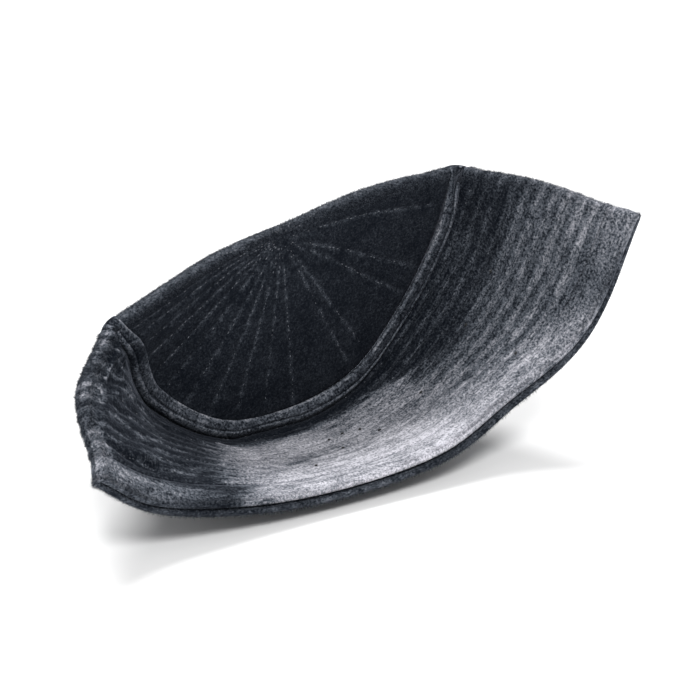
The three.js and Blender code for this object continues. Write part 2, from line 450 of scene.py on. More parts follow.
    def crown_points(self, ring: np.ndarray, turn: np.ndarray, height: np.ndarray) -> np.ndarray:
        """Points of the crown.

        Args:
            ring: Place on the crown's radius.
            turn: Angle round the cap.
            height: Distance from the middle of the slit.

        Returns:
            One point for each place.
        """
        side = np.where(turn < math.pi, 1.0, -1.0)
        angle = np.where(side > 0, turn, 2 * math.pi - turn)
        across = ring * self.crown_radius * np.cos(angle)
        reach = np.abs(ring * self.crown_radius * np.sin(angle))
        deep, offset = self.over_fold(reach, height, side)
        inside = self.crown_face(across, np.abs(deep))
        edge = self.crown_face(across, np.zeros_like(deep))
        point = np.where((deep >= 0)[..., None], inside, 2 * edge - inside)
        point = point + self.crown_normal(across, deep) * offset[..., None]
        return self.pressed(point, height, side) - np.array(self.centre)

    def band_points(self, down: np.ndarray, turn: np.ndarray, height: np.ndarray) -> np.ndarray:
        """Points of the band, the welt or the hem.

        Args:
            down: Place on the band.
            turn: Angle round the cap.
            height: Distance from the middle of the slit.

        Returns:
            One point for each place.
        """
        side = np.where(turn < math.pi, 1.0, -1.0)
        along = self.share_round(turn)
        overhang = self.rim_overhang * np.sin(math.pi * along) / self.band_height
        level = np.where(side > 0, down, down * (1 + overhang))
        length = self.row_length(level)
        right = along < 0.5
        reach = np.where(right, along, 1 - along) * length
        deep, offset = self.over_fold(reach, height, side)
        held = np.abs(deep)
        inside = self.band_face(np.where(right, held, length - held), level)
        edge = self.band_face(np.where(right, 0.0, length), level)
        point = np.where((deep >= 0)[..., None], inside, 2 * edge - inside)
        normal = self.band_normal(np.where(right, deep, length - deep), level)
        settled = smooth((reach - self.settled_from) / self.settled_over)
        lift = np.where(side > 0, self.wrinkle_height(along, level), -self.belly(along, level))
        point = point + normal * (offset + lift * settled)[..., None]
        return self.pressed(point, height, side) - np.array(self.centre)

    def belly(self, along: np.ndarray, down: np.ndarray) -> np.ndarray:
        """Tells how far the outer half sags below the inner one.

        Args:
            along: Place round the half.
            down: Place on the band.

        Returns:
            One depth for each place.
        """
        held = np.sin(math.pi * np.clip(down, 0, 1))
        near = bell(along - 0.5, self.belly_along) * bell(down - 0.5, self.belly_down)
        return self.belly_depth * near * held

    def wrinkle_height(self, along: np.ndarray, down: np.ndarray) -> np.ndarray:
        """Tells how far the wrinkles lift the pushed-in half.

        Args:
            along: Place round the half.
            down: Place on the band.

        Returns:
            One height for each place.
        """
        height = np.zeros(np.broadcast(along, down).shape)
        for wrinkle in self.wrinkles:
            right = (along - wrinkle.along) * self.row_length(down)
            below = (down - wrinkle.down) * self.band_height
            turn = math.radians(wrinkle.turn)
            lengthwise = right * math.cos(turn) + below * math.sin(turn)
            crosswise = below * math.cos(turn) - right * math.sin(turn)
            near = bell(lengthwise, wrinkle.length / 2) * bell(crosswise, wrinkle.width)
            height = height + wrinkle.height * near
        return height


@dataclass(frozen=True)
class FoldLine:
    """A small crease or ridge of the band, with a painted highlight along a ridge and painted shade along a
    crease.

    path holds places along and down the band; width and height are in millimetres. light is the painted light
    along it, and below 0 its painted shade.
    """

    path: tuple[tuple[float, float], ...]
    width: float
    height: float
    light: float


@dataclass(frozen=True)
class Quilting:
    """The stitched lines of the cap and the hand-made unevenness round them, in millimetres.

    A pair of flatter_at or loose_at holds how much or where, and how far along it reaches. Rays
    end at angles in degrees round the crown.
    """

    shape: FoldedShape
    rib_height: float = 0.5
    rib_fullness: float = 0.75
    flatter_at_left: tuple[float, float] = (0.25, 0.07)
    flatter_at_right: tuple[float, float] = (0.5, 0.06)
    row_waver: float = 0.45
    waver_turns: float = 9.0
    waver_mm: float = 9.0
    held_mm: float = 4.0
    clear_mm: float = 3.0
    loose_end: float = 1.3
    loose_at: tuple[float, float] = (0.88, 0.13)
    ray_depth: float = 0.35
    ray_width: float = 1.3
    ray_centre: tuple[float, float] = (-2.0, 6.5)
    ray_end: float = 0.955
    ray_unevenness: tuple[float, float] = (-0.05, 0.04)
    ray_start: float = 0.2
    ray_full: float = 0.25
    band_grains: tuple[Grain, ...] = (Grain(9, 7, 1, 0.22), Grain(2.6, 2.2, 2, 0.12))
    crown_grains: tuple[Grain, ...] = (Grain(10, 10, 3, 0.16), Grain(2.6, 2.6, 4, 0.1))
    crown_swell: float = 0.15
    rays_pushed_in: tuple[float, ...] = (
        12, 32, 40, 60, 67, 87, 97, 107, 116, 124, 132, 140, 148, 155, 162, 169,
    )
    rays_outer: tuple[float, ...] = (186, 197, 210, 222, 235, 247, 260, 273, 286, 298, 311, 323, 337, 349)
    # Each fold line ends with its painted light: a painted highlight on a ridge, painted shade in a crease.
    fold_lines: tuple[FoldLine, ...] = (
        FoldLine(((0.942, 0.08), (0.948, 0.2), (0.94, 0.34)), 1.6, 1.1, 0.09),
        FoldLine(((0.9, 0.16), (0.893, 0.25)), 1.3, 0.8, 0.1),
        FoldLine(((0.89, 0.24), (0.875, 0.33), (0.805, 0.29), (0.75, 0.3), (0.685, 0.33)), 1.7, 0.8, 0.02),
        FoldLine(((0.98, 0.39), (0.935, 0.47)), 1.6, 0.9, 0.09),
        FoldLine(((0.995, 0.49), (0.955, 0.53)), 1.5, 0.6, 0.05),
        FoldLine(((0.995, 0.67), (0.95, 0.75), (0.88, 0.8), (0.84, 0.79)), 2.2, -1.4, -0.05),
        FoldLine(((0.975, 0.86), (0.895, 0.9), (0.775, 0.9)), 1.4, 0.3, 0.08),
        FoldLine(((1.0, 0.11), (0.945, 0.14)), 1.2, -0.8, -0.03),
        FoldLine(((1.0, 0.19), (0.96, 0.23)), 1.2, -0.8, -0.03),
        FoldLine(((0.65, 0.26), (0.62, 0.36), (0.665, 0.45), (0.705, 0.61)), 2.2, 0.5, 0.12),
        FoldLine(((0.345, 0.34), (0.405, 0.21)), 1.6, 0.4, 0.08),
    )

    @property
    def pitch(self) -> float:
        """Distance from one stitched row to the next."""
        shape = self.shape
        return (shape.band_end * shape.band_height - shape.rows_top) / shape.row_count

    def row_phase(self, down: np.ndarray, turn: np.ndarray) -> np.ndarray:
        """Counts the rows from the seam down, with the wavering of a hand-guided line.

        Args:
            down: Place on the band.
            turn: Angle round the cap.

        Returns:
            One count for each place, whole on a stitched line.
        """
        shape = self.shape
        distance = down * shape.band_height - shape.rows_top
        left_over = self.pitch * shape.row_count - distance
        held = smooth(distance / self.held_mm) * smooth(left_over / self.held_mm)
        loose = 1 + self.loose_end * bell(turn / math.pi - self.loose_at[0], self.loose_at[1])
        waver = value_noise(turn * self.waver_turns, distance / self.waver_mm, SEED)
        return np.clip((distance + self.row_waver * loose * waver * held) / self.pitch, 0, shape.row_count)

    def from_line(
        self, along: np.ndarray, down: np.ndarray, path: tuple[tuple[float, float], ...]
    ) -> np.ndarray:
        """Measures how far places on the band are from a line drawn on it.

        Args:
            along: Place round the half.
            down: Place on the band.
            path: The line's corners, as places along and down.

        Returns:
            One distance for each place, in millimetres.
        """
        size = np.array([self.shape.row_length(0.5), self.shape.band_height])
        spot = np.stack(np.broadcast_arrays(along, down), -1) * size
        corners = np.array(path) * size
        return np.min([from_run(spot, start, end)[0] for start, end in zip(corners[:-1], corners[1:])], 0)

    def band_relief(self, down: np.ndarray, turn: np.ndarray) -> np.ndarray:
        """Works out the height of the band's velvet over plain cloth.

        Args:
            down: Place on the band.
            turn: Angle round the cap.

        Returns:
            One height for each place.
        """
        shape = self.shape
        along = shape.share_round(turn)
        rib = np.abs(np.sin(math.pi * self.row_phase(down, turn))) ** self.rib_fullness
        puffed = 1 - self.flatter_at_left[0] * bell(along - 1.0, self.flatter_at_left[1])
        puffed = puffed - self.flatter_at_right[0] * bell(along, self.flatter_at_right[1])
        around = turn * shape.rim_length / math.pi
        below = down * shape.band_height
        clear = smooth((below - shape.rows_top) / self.clear_mm)
        uneven = sum(grain.at(around, below) for grain in self.band_grains)
        folds = sum(
            line.height * bell(self.from_line(along, down, line.path), line.width) for line in self.fold_lines
        )
        return self.rib_height * rib * puffed + clear * (uneven + np.where(turn < math.pi, folds, 0.0))

    def ray_ends(self) -> list[tuple[np.ndarray, np.ndarray]]:
        """Lays out the rays in the flat crown.

        Returns:
            The start and the end of each, as distances along and away from the fold.
        """
        start = np.array(self.ray_centre)
        degrees = np.radians((*self.rays_pushed_in, *self.rays_outer))
        spread = np.random.default_rng(SEED).uniform(*self.ray_unevenness, 60)[: len(degrees)]
        lengths = self.shape.crown_radius * (self.ray_end + spread)
        ends = np.stack([np.cos(degrees), np.sin(degrees)], -1) * lengths[:, None]
        return [(start, end) for end in ends]

    def near_ray(self, ring: np.ndarray, turn: np.ndarray, width: float) -> np.ndarray:
        """Tells how near each place of the crown is to a ray.

        Args:
            ring: Place on the crown's radius.
            turn: Angle round the cap.
            width: Half the width of a ray, in millimetres.

        Returns:
            One value for each place, 1 on a ray and 0 far from it or near the middle.
        """
        flat = flat_place(ring * self.shape.crown_radius, turn)
        near = np.zeros(flat.shape[:-1])
        for start, end in self.ray_ends():
            away, share = from_run(flat, start, end)
            near = np.maximum(near, bell(away, width) * smooth(share / self.ray_full + self.ray_start))
        return near

    def crown_relief(self, ring: np.ndarray, turn: np.ndarray) -> np.ndarray:
        """Works out the height of the crown's velvet over plain cloth.

        Args:
            ring: Place on the crown's radius.
            turn: Angle round the cap.

        Returns:
            One height for each place.
        """
        flat = flat_place(ring * self.shape.crown_radius, turn)
        uneven = sum(grain.at(flat[..., 0], flat[..., 1]) for grain in self.crown_grains)
        clear = smooth((1 - ring) * self.shape.crown_radius / self.held_mm)
        grooves = self.ray_depth * self.near_ray(ring, turn, self.ray_width)
        return (uneven + self.crown_swell - grooves) * clear


@dataclass(frozen=True)
class PaintedLightPatch:
    """A patch of the band painted lighter, or darker below 0: painted light where the band faces the lamps
    and painted shade in its hollows, mixed with the velvet's own uneven tone.
    """

    along: float
    down: float
    along_reach: float
    down_reach: float
    light: float


@dataclass(frozen=True)
class Swing:
    """A grain of the band's uneven tone, and its shares in ragged edges, in plain and in rubbed pile."""

    grain: Grain
    ragged: float
    plain: float
    rubbed: float


@dataclass(frozen=True)
class CrownSwing:
    """A grain of the crown's uneven tone, and its shares in plain velvet and along the rays."""

    grain: Grain
    plain: float
    ray: float


@dataclass(frozen=True)
class PaintedLightAndNap:
    """Painted light and shade of the velvet with its own uneven tone, from 0 for black to 1 for the palest
    grey.

    A pair holds a light or a place first, and how far it reaches second. Across the rows, the
    grain row_line_patches is measured in rows.
    """

    quilting: Quilting
    plain: float = 0.012
    least: float = 0.002
    least_unbroken: float = 0.003
    # The outer half gets a plain tone and a faint copy of the pushed-in half's painted light.
    outside: float = 0.02
    outside_share: float = 0.3
    outside_most: float = 0.1
    # Patches of painted light where the folded band faces the lamps, and below 0 of painted shade, as in the
    # crease below the lip.
    painted_light: tuple[PaintedLightPatch, ...] = (
        PaintedLightPatch(0.57, 0.84, 0.15, 0.62, 0.39),
        PaintedLightPatch(0.41, 0.75, 0.1, 0.5, 0.2),
        PaintedLightPatch(0.33, 0.8, 0.14, 0.4, 0.065),
        PaintedLightPatch(0.52, 0.97, 0.17, 0.34, 0.2),
        PaintedLightPatch(0.25, 0.98, 0.12, 0.17, 0.17),
        PaintedLightPatch(0.12, 0.78, 0.24, 0.4, 0.108),
        PaintedLightPatch(0.0, 0.9, 0.08, 0.24, 0.08),
        PaintedLightPatch(0.46, 0.36, 0.12, 0.14, 0.14),
        PaintedLightPatch(0.92, 0.93, 0.16, 0.085, 0.105),
        PaintedLightPatch(0.97, 0.45, 0.035, 0.1, 0.075),
        PaintedLightPatch(0.6, 0.42, 0.085, 0.16, 0.13),
        PaintedLightPatch(0.985, 0.77, 0.035, 0.13, 0.1),
        PaintedLightPatch(0.595, 0.57, 0.035, 0.06, -0.2),
        PaintedLightPatch(0.45, 0.53, 0.03, 0.045, -0.1),
        PaintedLightPatch(0.33, 0.68, 0.03, 0.06, -0.09),
        PaintedLightPatch(0.555, 0.74, 0.012, 0.03, -0.14),
        PaintedLightPatch(0.49, 0.73, 0.014, 0.03, -0.12),
        PaintedLightPatch(0.68, 0.14, 0.3, 0.12, -0.3),
        PaintedLightPatch(0.17, 0.22, 0.1, 0.13, 0.014),
        PaintedLightPatch(0.225, 0.56, 0.06, 0.08, -0.028),
    )
    patch_edge: float = 9.0
    # Painted sheen along the folds of the band and of the crown.
    band_glow: tuple[tuple[float, float], ...] = ((0.02, 6.0), (0.07, 2.2))
    crown_glow: tuple[tuple[float, float], ...] = ((0.016, 5.5), (0.07, 1.9))
    fold_line_width: float = 0.65
    blotch: float = 0.55
    dark_swing: float = 1.35
    pale_from: float = 0.6
    even_at_right: tuple[float, float] = (0.4, 0.16)
    row_line: float = 0.3
    row_line_most: float = 0.12
    row_line_least: float = 0.035
    row_line_width: float = 0.75
    row_line_uneven: float = 0.35
    row_line_patches: Grain = Grain(5, 1 / 5.3, 13, 0.9)
    row_line_share: float = 0.7
    row_line_tufts: float = 0.6
    rows_from: float = 4.0
    rows_full: float = 2.0
    last_row_margin: float = 0.02
    # Painted rib shading: one side of each rib painted lighter and the other darker.
    rib_shade: float = 0.42
    rib_shade_shift: float = 0.6
    rib_shade_below: float = 1 / 3
    puff_line: float = 0.06
    puffs_reach: float = 16.0
    # Painted shade in the crease below the lip, where the pale row lines are left out.
    crease: tuple[float, float] = (0.66, 0.12)
    crease_reach: tuple[float, float] = (0.29, 0.09)
    ray_line: float = 0.038
    ray_width: float = 0.75
    ray_share: float = 0.7
    ray_full_at: float = 0.35
    rubbed_at: tuple[float, float] = (0.86, 0.13)
    rubbed_down_to: float = 0.84
    rubbed_fade: float = 0.08
    rubbed_line: float = 0.05
    swings: tuple[Swing, ...] = (
        Swing(Grain(16, 5, 10), 0.14, 0.7, 1.3),
        Swing(Grain(9, 1.9, 11), 0.2, 0.9, 2.0),
        Swing(Grain(2.2, 1.7, 12), 0.1, 0.7, 0.6),
    )
    rubbed_swing: float = -0.8
    strayed: Grain = Grain(14, 3.2, 16, 0.4)
    crown_swings: tuple[CrownSwing, ...] = (
        CrownSwing(Grain(1.9, 1.9, 14), 0.5, 0.9),
        CrownSwing(Grain(8, 8, 15), 0.45, 0.3),
    )

    def painted_light_sum(self, along: np.ndarray, down: np.ndarray, ragged: np.ndarray) -> np.ndarray:
        """Adds up the painted light: patches of painted light and shade, painted sheen along both folds, and
        painted highlights and shades of the small folds of the band.

        Args:
            along: Place round the half.
            down: Place on the band.
            ragged: How far the edge of a patch strays at each place, in reaches of it.

        Returns:
            One value for each place.
        """
        shape = self.quilting.shape
        light = np.full(np.broadcast(along, down).shape, self.plain)
        for patch in self.painted_light:
            across = (along - patch.along) / patch.along_reach
            away = np.hypot(across, (down - patch.down) / patch.down_reach)
            light = light + patch.light * np.exp(-(np.maximum(away + ragged, 0) ** self.patch_edge))
        fold = np.minimum(along, 1 - along) * shape.row_length(down)
        # Painted sheen along both folds.
        light = light + sum(glow * bell(fold, reach) for glow, reach in self.band_glow)
        # Painted highlight along each ridge, painted shade along each crease.
        for line in self.quilting.fold_lines:
            away = self.quilting.from_line(along, down, line.path)
            light = light + line.light * bell(away, self.fold_line_width * line.width)
        return light

    def row_lines(self, phase: np.ndarray, around: np.ndarray, tuft: np.ndarray) -> np.ndarray:
        """Tells how much of a pale stitched line shows.

        Args:
            phase: Count of the rows at each place, whole on a stitched line.
            around: Distance round the cap, in millimetres.
            tuft: Unevenness at the size of tufts.

        Returns:
            One value for each place, about 1 on a line and 0 between two.
        """
        away = np.abs(phase - np.round(phase)) * self.quilting.pitch
        patchy = self.row_line_share + self.row_line_patches.at(around, np.round(phase))
        worn = np.maximum(patchy + self.row_line_tufts * tuft, 0)
        return bell(away, self.row_line_width + self.row_line_uneven * tuft) * worn

    def on_band(self, down: np.ndarray, turn: np.ndarray) -> np.ndarray:
        """Painted light and shade of the band and the hem, with the velvet's own tone.

        The swings break the light up, and more where the pile was rubbed near the left fold. The rows are
        pale lines in dark velvet, and stripes of painted rib shading in pale velvet. The crease below the lip
        keeps its painted shade, and the outer half gets a faint copy of the painted light.

        Args:
            down: Place on the band.
            turn: Angle round the cap.

        Returns:
            One value for each place.
        """
        shape = self.quilting.shape
        inside = turn < math.pi
        along = shape.share_round(turn)
        around = turn * shape.rim_length / math.pi
        below = down * shape.band_height
        grains = [swing.grain.at(around, below) for swing in self.swings]
        tuft = grains[-1]
        ragged = sum(swing.ragged * grain for swing, grain in zip(self.swings, grains))
        light = self.painted_light_sum(along, down, ragged)
        # The outer half gets a faint copy of the painted light.
        faint_painted_light = self.outside_share * np.clip(light, 0, self.outside_most)
        light = np.where(inside, light, self.outside + faint_painted_light)
        phase = self.quilting.row_phase(down, turn)
        quilted = smooth((below - self.rows_from) / self.rows_full)
        quilted = quilted * (phase < shape.row_count - self.last_row_margin)
        rubbed = np.where(inside, bell(along - self.rubbed_at[0], self.rubbed_at[1]), 0)
        rubbed = rubbed * smooth((self.rubbed_down_to - down) / self.rubbed_fade)
        phase = phase + rubbed * self.strayed.at(around, below)
        lines = self.row_lines(phase, around, tuft) * quilted
        broken = self.rubbed_swing * rubbed
        for swing, grain in zip(self.swings, grains):
            broken = broken + (swing.plain + swing.rubbed * rubbed) * grain
        even, even_reach = self.even_at_right
        broken = self.blotch * (1 - even * bell(along, even_reach)) * broken
        # Painted rib shading: one side of each rib lighter, the other darker.
        rib_side = np.sin(2 * math.pi * phase + self.rib_shade_shift) * quilted
        rib_side = rib_side * smooth(2 * (1 - light / self.rib_shade_below))
        swing_and_rib_shade = broken * (self.dark_swing - np.clip(light, 0, self.pale_from)) + self.rib_shade * rib_side
        light = np.maximum(light, self.least_unbroken) * np.exp(swing_and_rib_shade)
        # Painted shade in the crease below the lip: no pale row lines there.
        crease = bell(along - self.crease[0], self.crease_reach[0])
        crease = crease * bell(down - self.crease[1], self.crease_reach[1])
        puffs = np.where(inside, bell((1 - along) * shape.row_length(down), self.puffs_reach), 0)
        lined = self.row_line_least + self.rubbed_line * rubbed + self.puff_line * puffs
        lined = lined + self.row_line * np.minimum(light, self.row_line_most)
        return np.clip(light + lines * lined * (1 - crease), self.least, 1)

    def on_crown(self, ring: np.ndarray, turn: np.ndarray) -> np.ndarray:
        """Painted light and tone of the crown: even and dark, disturbed along the rays, and with painted
        sheen along the fold.

        Args:
            ring: Place on the crown's radius.
            turn: Angle round the cap.

        Returns:
            One value for each place.
        """
        flat = flat_place(ring * self.quilting.shape.crown_radius, turn)
        grains = [swing.grain.at(flat[..., 0], flat[..., 1]) for swing in self.crown_swings]
        velvet = 1 + sum(swing.plain * grain for swing, grain in zip(self.crown_swings, grains))
        rays = self.ray_share + sum(swing.ray * grain for swing, grain in zip(self.crown_swings, grains))
        lines = self.quilting.near_ray(ring, turn, self.ray_width) * rays * smooth(ring / self.ray_full_at)
        light = self.plain * velvet + self.ray_line * np.maximum(lines, 0)
        # Painted sheen along the crown's fold.
        glow = sum(glow * bell(np.abs(flat[..., 1]), reach) for glow, reach in self.crown_glow)
        light = light + glow * (1 + self.crown_swings[0].plain * grains[0])
        return np.clip(light, self.least, 1) + np.where(turn < math.pi, 0.0, self.outside / 4)


@dataclass
class Skin:
    """A closed skin of rings of points round the cap."""

    turns: np.ndarray
    points: list[np.ndarray] = field(default_factory=list)
    flats: list[np.ndarray] = field(default_factory=list)
    painted_light_and_naps: list[np.ndarray] = field(default_factory=list)

    def add(self, points: np.ndarray, down_mm: float, round_mm: float, painted_light_and_nap: np.ndarray) -> None:
        """Adds a ring.

        Args:
            points: One point for each turn.
            down_mm: Its place across the cloth, for the pattern.
            round_mm: Its length all the way round, for the pattern.
            painted_light_and_nap: Painted light and shade with the velvet's own tone, at each point.
        """
        share = np.append(self.turns, 2 * math.pi) / (2 * math.pi)
        across = np.full_like(share, down_mm)
        self.points.append(points)
        self.flats.append(np.stack([share * round_mm, across], -1))
        self.painted_light_and_naps.append(np.broadcast_to(painted_light_and_nap, self.turns.shape))

    def build(self, name: str, capped: bool) -> bpy.types.Object:
        """Makes the object.

        Args:
            name: Its name.
            capped: True if the first and last ring are closed with a tip each, and False if the
                last ring joins the first.

        Returns:
            The new object, smooth all over, with the uv map cloth and a point attribute of painted light and
            shade with the velvet's own tone.
        """
        rings = len(self.points)
        count = len(self.turns)
        vertices = np.concatenate(self.points)
        painted_light_and_naps = np.concatenate(self.painted_light_and_naps)
        flats = np.array(self.flats)
        column = np.arange(count)
        following = (column + 1) % count
        faces = []
        uvs = []
        for upper in range(rings if not capped else rings - 1):
            lower = (upper + 1) % rings
            corners = [upper * count + column, upper * count + following]
            corners += [lower * count + following, lower * count + column]
            faces.append(np.stack(corners, -1))
            uv = [flats[upper, :-1], flats[upper, 1:], flats[lower, 1:], flats[lower, :-1]]
            uvs.append(np.stack(uv, 1))
        quads = np.concatenate(faces)
        loops = quads.reshape(-1)
        sizes = np.full(len(quads), 4)
        loop_uvs = np.concatenate(uvs).reshape(-1, 2)
        if capped:
            tips = [self.points[0].mean(0), self.points[-1].mean(0)]
            first = len(vertices)
            vertices = np.concatenate([vertices, tips])
            painted_light_and_naps = np.append(painted_light_and_naps, [painted_light_and_naps[0], painted_light_and_naps[-1]])
            last = (rings - 1) * count
            top = np.stack([np.full(count, first), following, column], -1)
            bottom = np.stack([np.full(count, first + 1), last + column, last + following], -1)
            top_uv = np.stack([flats[0, :-1], flats[0, 1:], flats[0, :-1]], 1)
            bottom_uv = np.stack([flats[-1, :-1], flats[-1, :-1], flats[-1, 1:]], 1)
            loops = np.concatenate([loops, top.reshape(-1), bottom.reshape(-1)])
            sizes = np.concatenate([sizes, np.full(2 * count, 3)])
            loop_uvs = np.concatenate([loop_uvs, top_uv.reshape(-1, 2), bottom_uv.reshape(-1, 2)])
        return mesh_object(name, vertices * MM, loops, sizes, loop_uvs * UV_PER_MM, painted_light_and_naps)


def mesh_object(
    name: str,
    vertices: np.ndarray,
    loops: np.ndarray,
    sizes: np.ndarray,
    uvs: np.ndarray | None = None,
    painted_light_and_naps: np.ndarray | None = None,
) -> bpy.types.Object:
    """Makes a smooth mesh object from plain arrays.

    Args:
        name: The object's name.
        vertices: Points in metres.
        loops: The faces' corners, one face after the other.
        sizes: Number of corners of each face.
        uvs: A pattern place for each corner.
        painted_light_and_naps: Painted light and shade with the velvet's own tone, at each point.

    Returns:
        The object, in the scene, at the origin.
    """
    mesh = bpy.data.meshes.new(name)
    mesh.vertices.add(len(vertices))
    mesh.vertices.foreach_set("co", np.asarray(vertices, np.float32).reshape(-1))
    mesh.loops.add(len(loops))
    mesh.loops.foreach_set("vertex_index", np.asarray(loops, np.int32))
    starts = np.concatenate([[0], np.cumsum(sizes)[:-1]])
    mesh.polygons.add(len(sizes))
    mesh.polygons.foreach_set("loop_start", np.asarray(starts, np.int32))
    mesh.polygons.foreach_set("use_smooth", np.ones(len(sizes), bool))
    mesh.update(calc_edges=True)
    if uvs is not None:
        layer = mesh.uv_layers.new(name="cloth")
        layer.data.foreach_set("uv", np.asarray(uvs, np.float32).reshape(-1))
    if painted_light_and_naps is not None:
        # Stores the painted light and shade, with the velvet's own tone, at each point.
        attribute = mesh.attributes.new("painted_light_and_nap", "FLOAT", "POINT")
        attribute.data.foreach_set("value", np.asarray(painted_light_and_naps, np.float32))
    mesh.validate()
    piece = bpy.data.objects.new(name, mesh)
    bpy.context.scene.collection.objects.link(piece)
    return piece


def turns_round(shape: FoldedShape, finest: float, pushed_in_step: float, outer_step: float) -> np.ndarray:
    """Places round the cap, close together at the two folds.

    Args:
        shape: The cap.
        finest: Distance between the places at a fold.
        pushed_in_step: Largest distance on the half that shows.
        outer_step: Largest distance on the half below.

    Returns:
        Angles from 0 to just under a full turn.
    """
    growth = 1.2
    halves = []
    for largest in (pushed_in_step, outer_step):
        reach = [0.0]
        step = finest
        while reach[-1] < shape.seam_length / 2:
            reach.append(reach[-1] + step)
            step = min(step * growth, largest)
        quarter = np.array(reach) / reach[-1] * math.pi / 2
        halves.append(np.concatenate([quarter, math.pi - quarter[-2:0:-1]]))
    return np.concatenate([halves[0], halves[1] + math.pi])


def add_node(
    tree: bpy.types.NodeTree, kind: str, settings: dict | None = None, links: dict | None = None
) -> bpy.types.Node:
    """Adds a node to a material.

    Args:
        tree: The material's nodes.
        kind: The node's type.
        settings: Values by the name of a property or a socket, or by a socket's number.
        links: Output sockets by the name or number of the socket that they go to.

    Returns:
        The new node.
    """
    node = tree.nodes.new(kind)
    for key, value in (settings or {}).items():
        if isinstance(key, str) and hasattr(node, key):
            setattr(node, key, value)
        else:
            node.inputs[key].default_value = value
    for key, output in (links or {}).items():
        tree.links.new(output, node.inputs[key])
    return node


def new_material(name: str) -> bpy.types.Material:
    """Makes a material without nodes.

    Args:
        name: What the real material is.

    Returns:
        The material.
    """
    material = bpy.data.materials.new(name)
    material.use_nodes = True
    material.node_tree.nodes.clear()
    return material


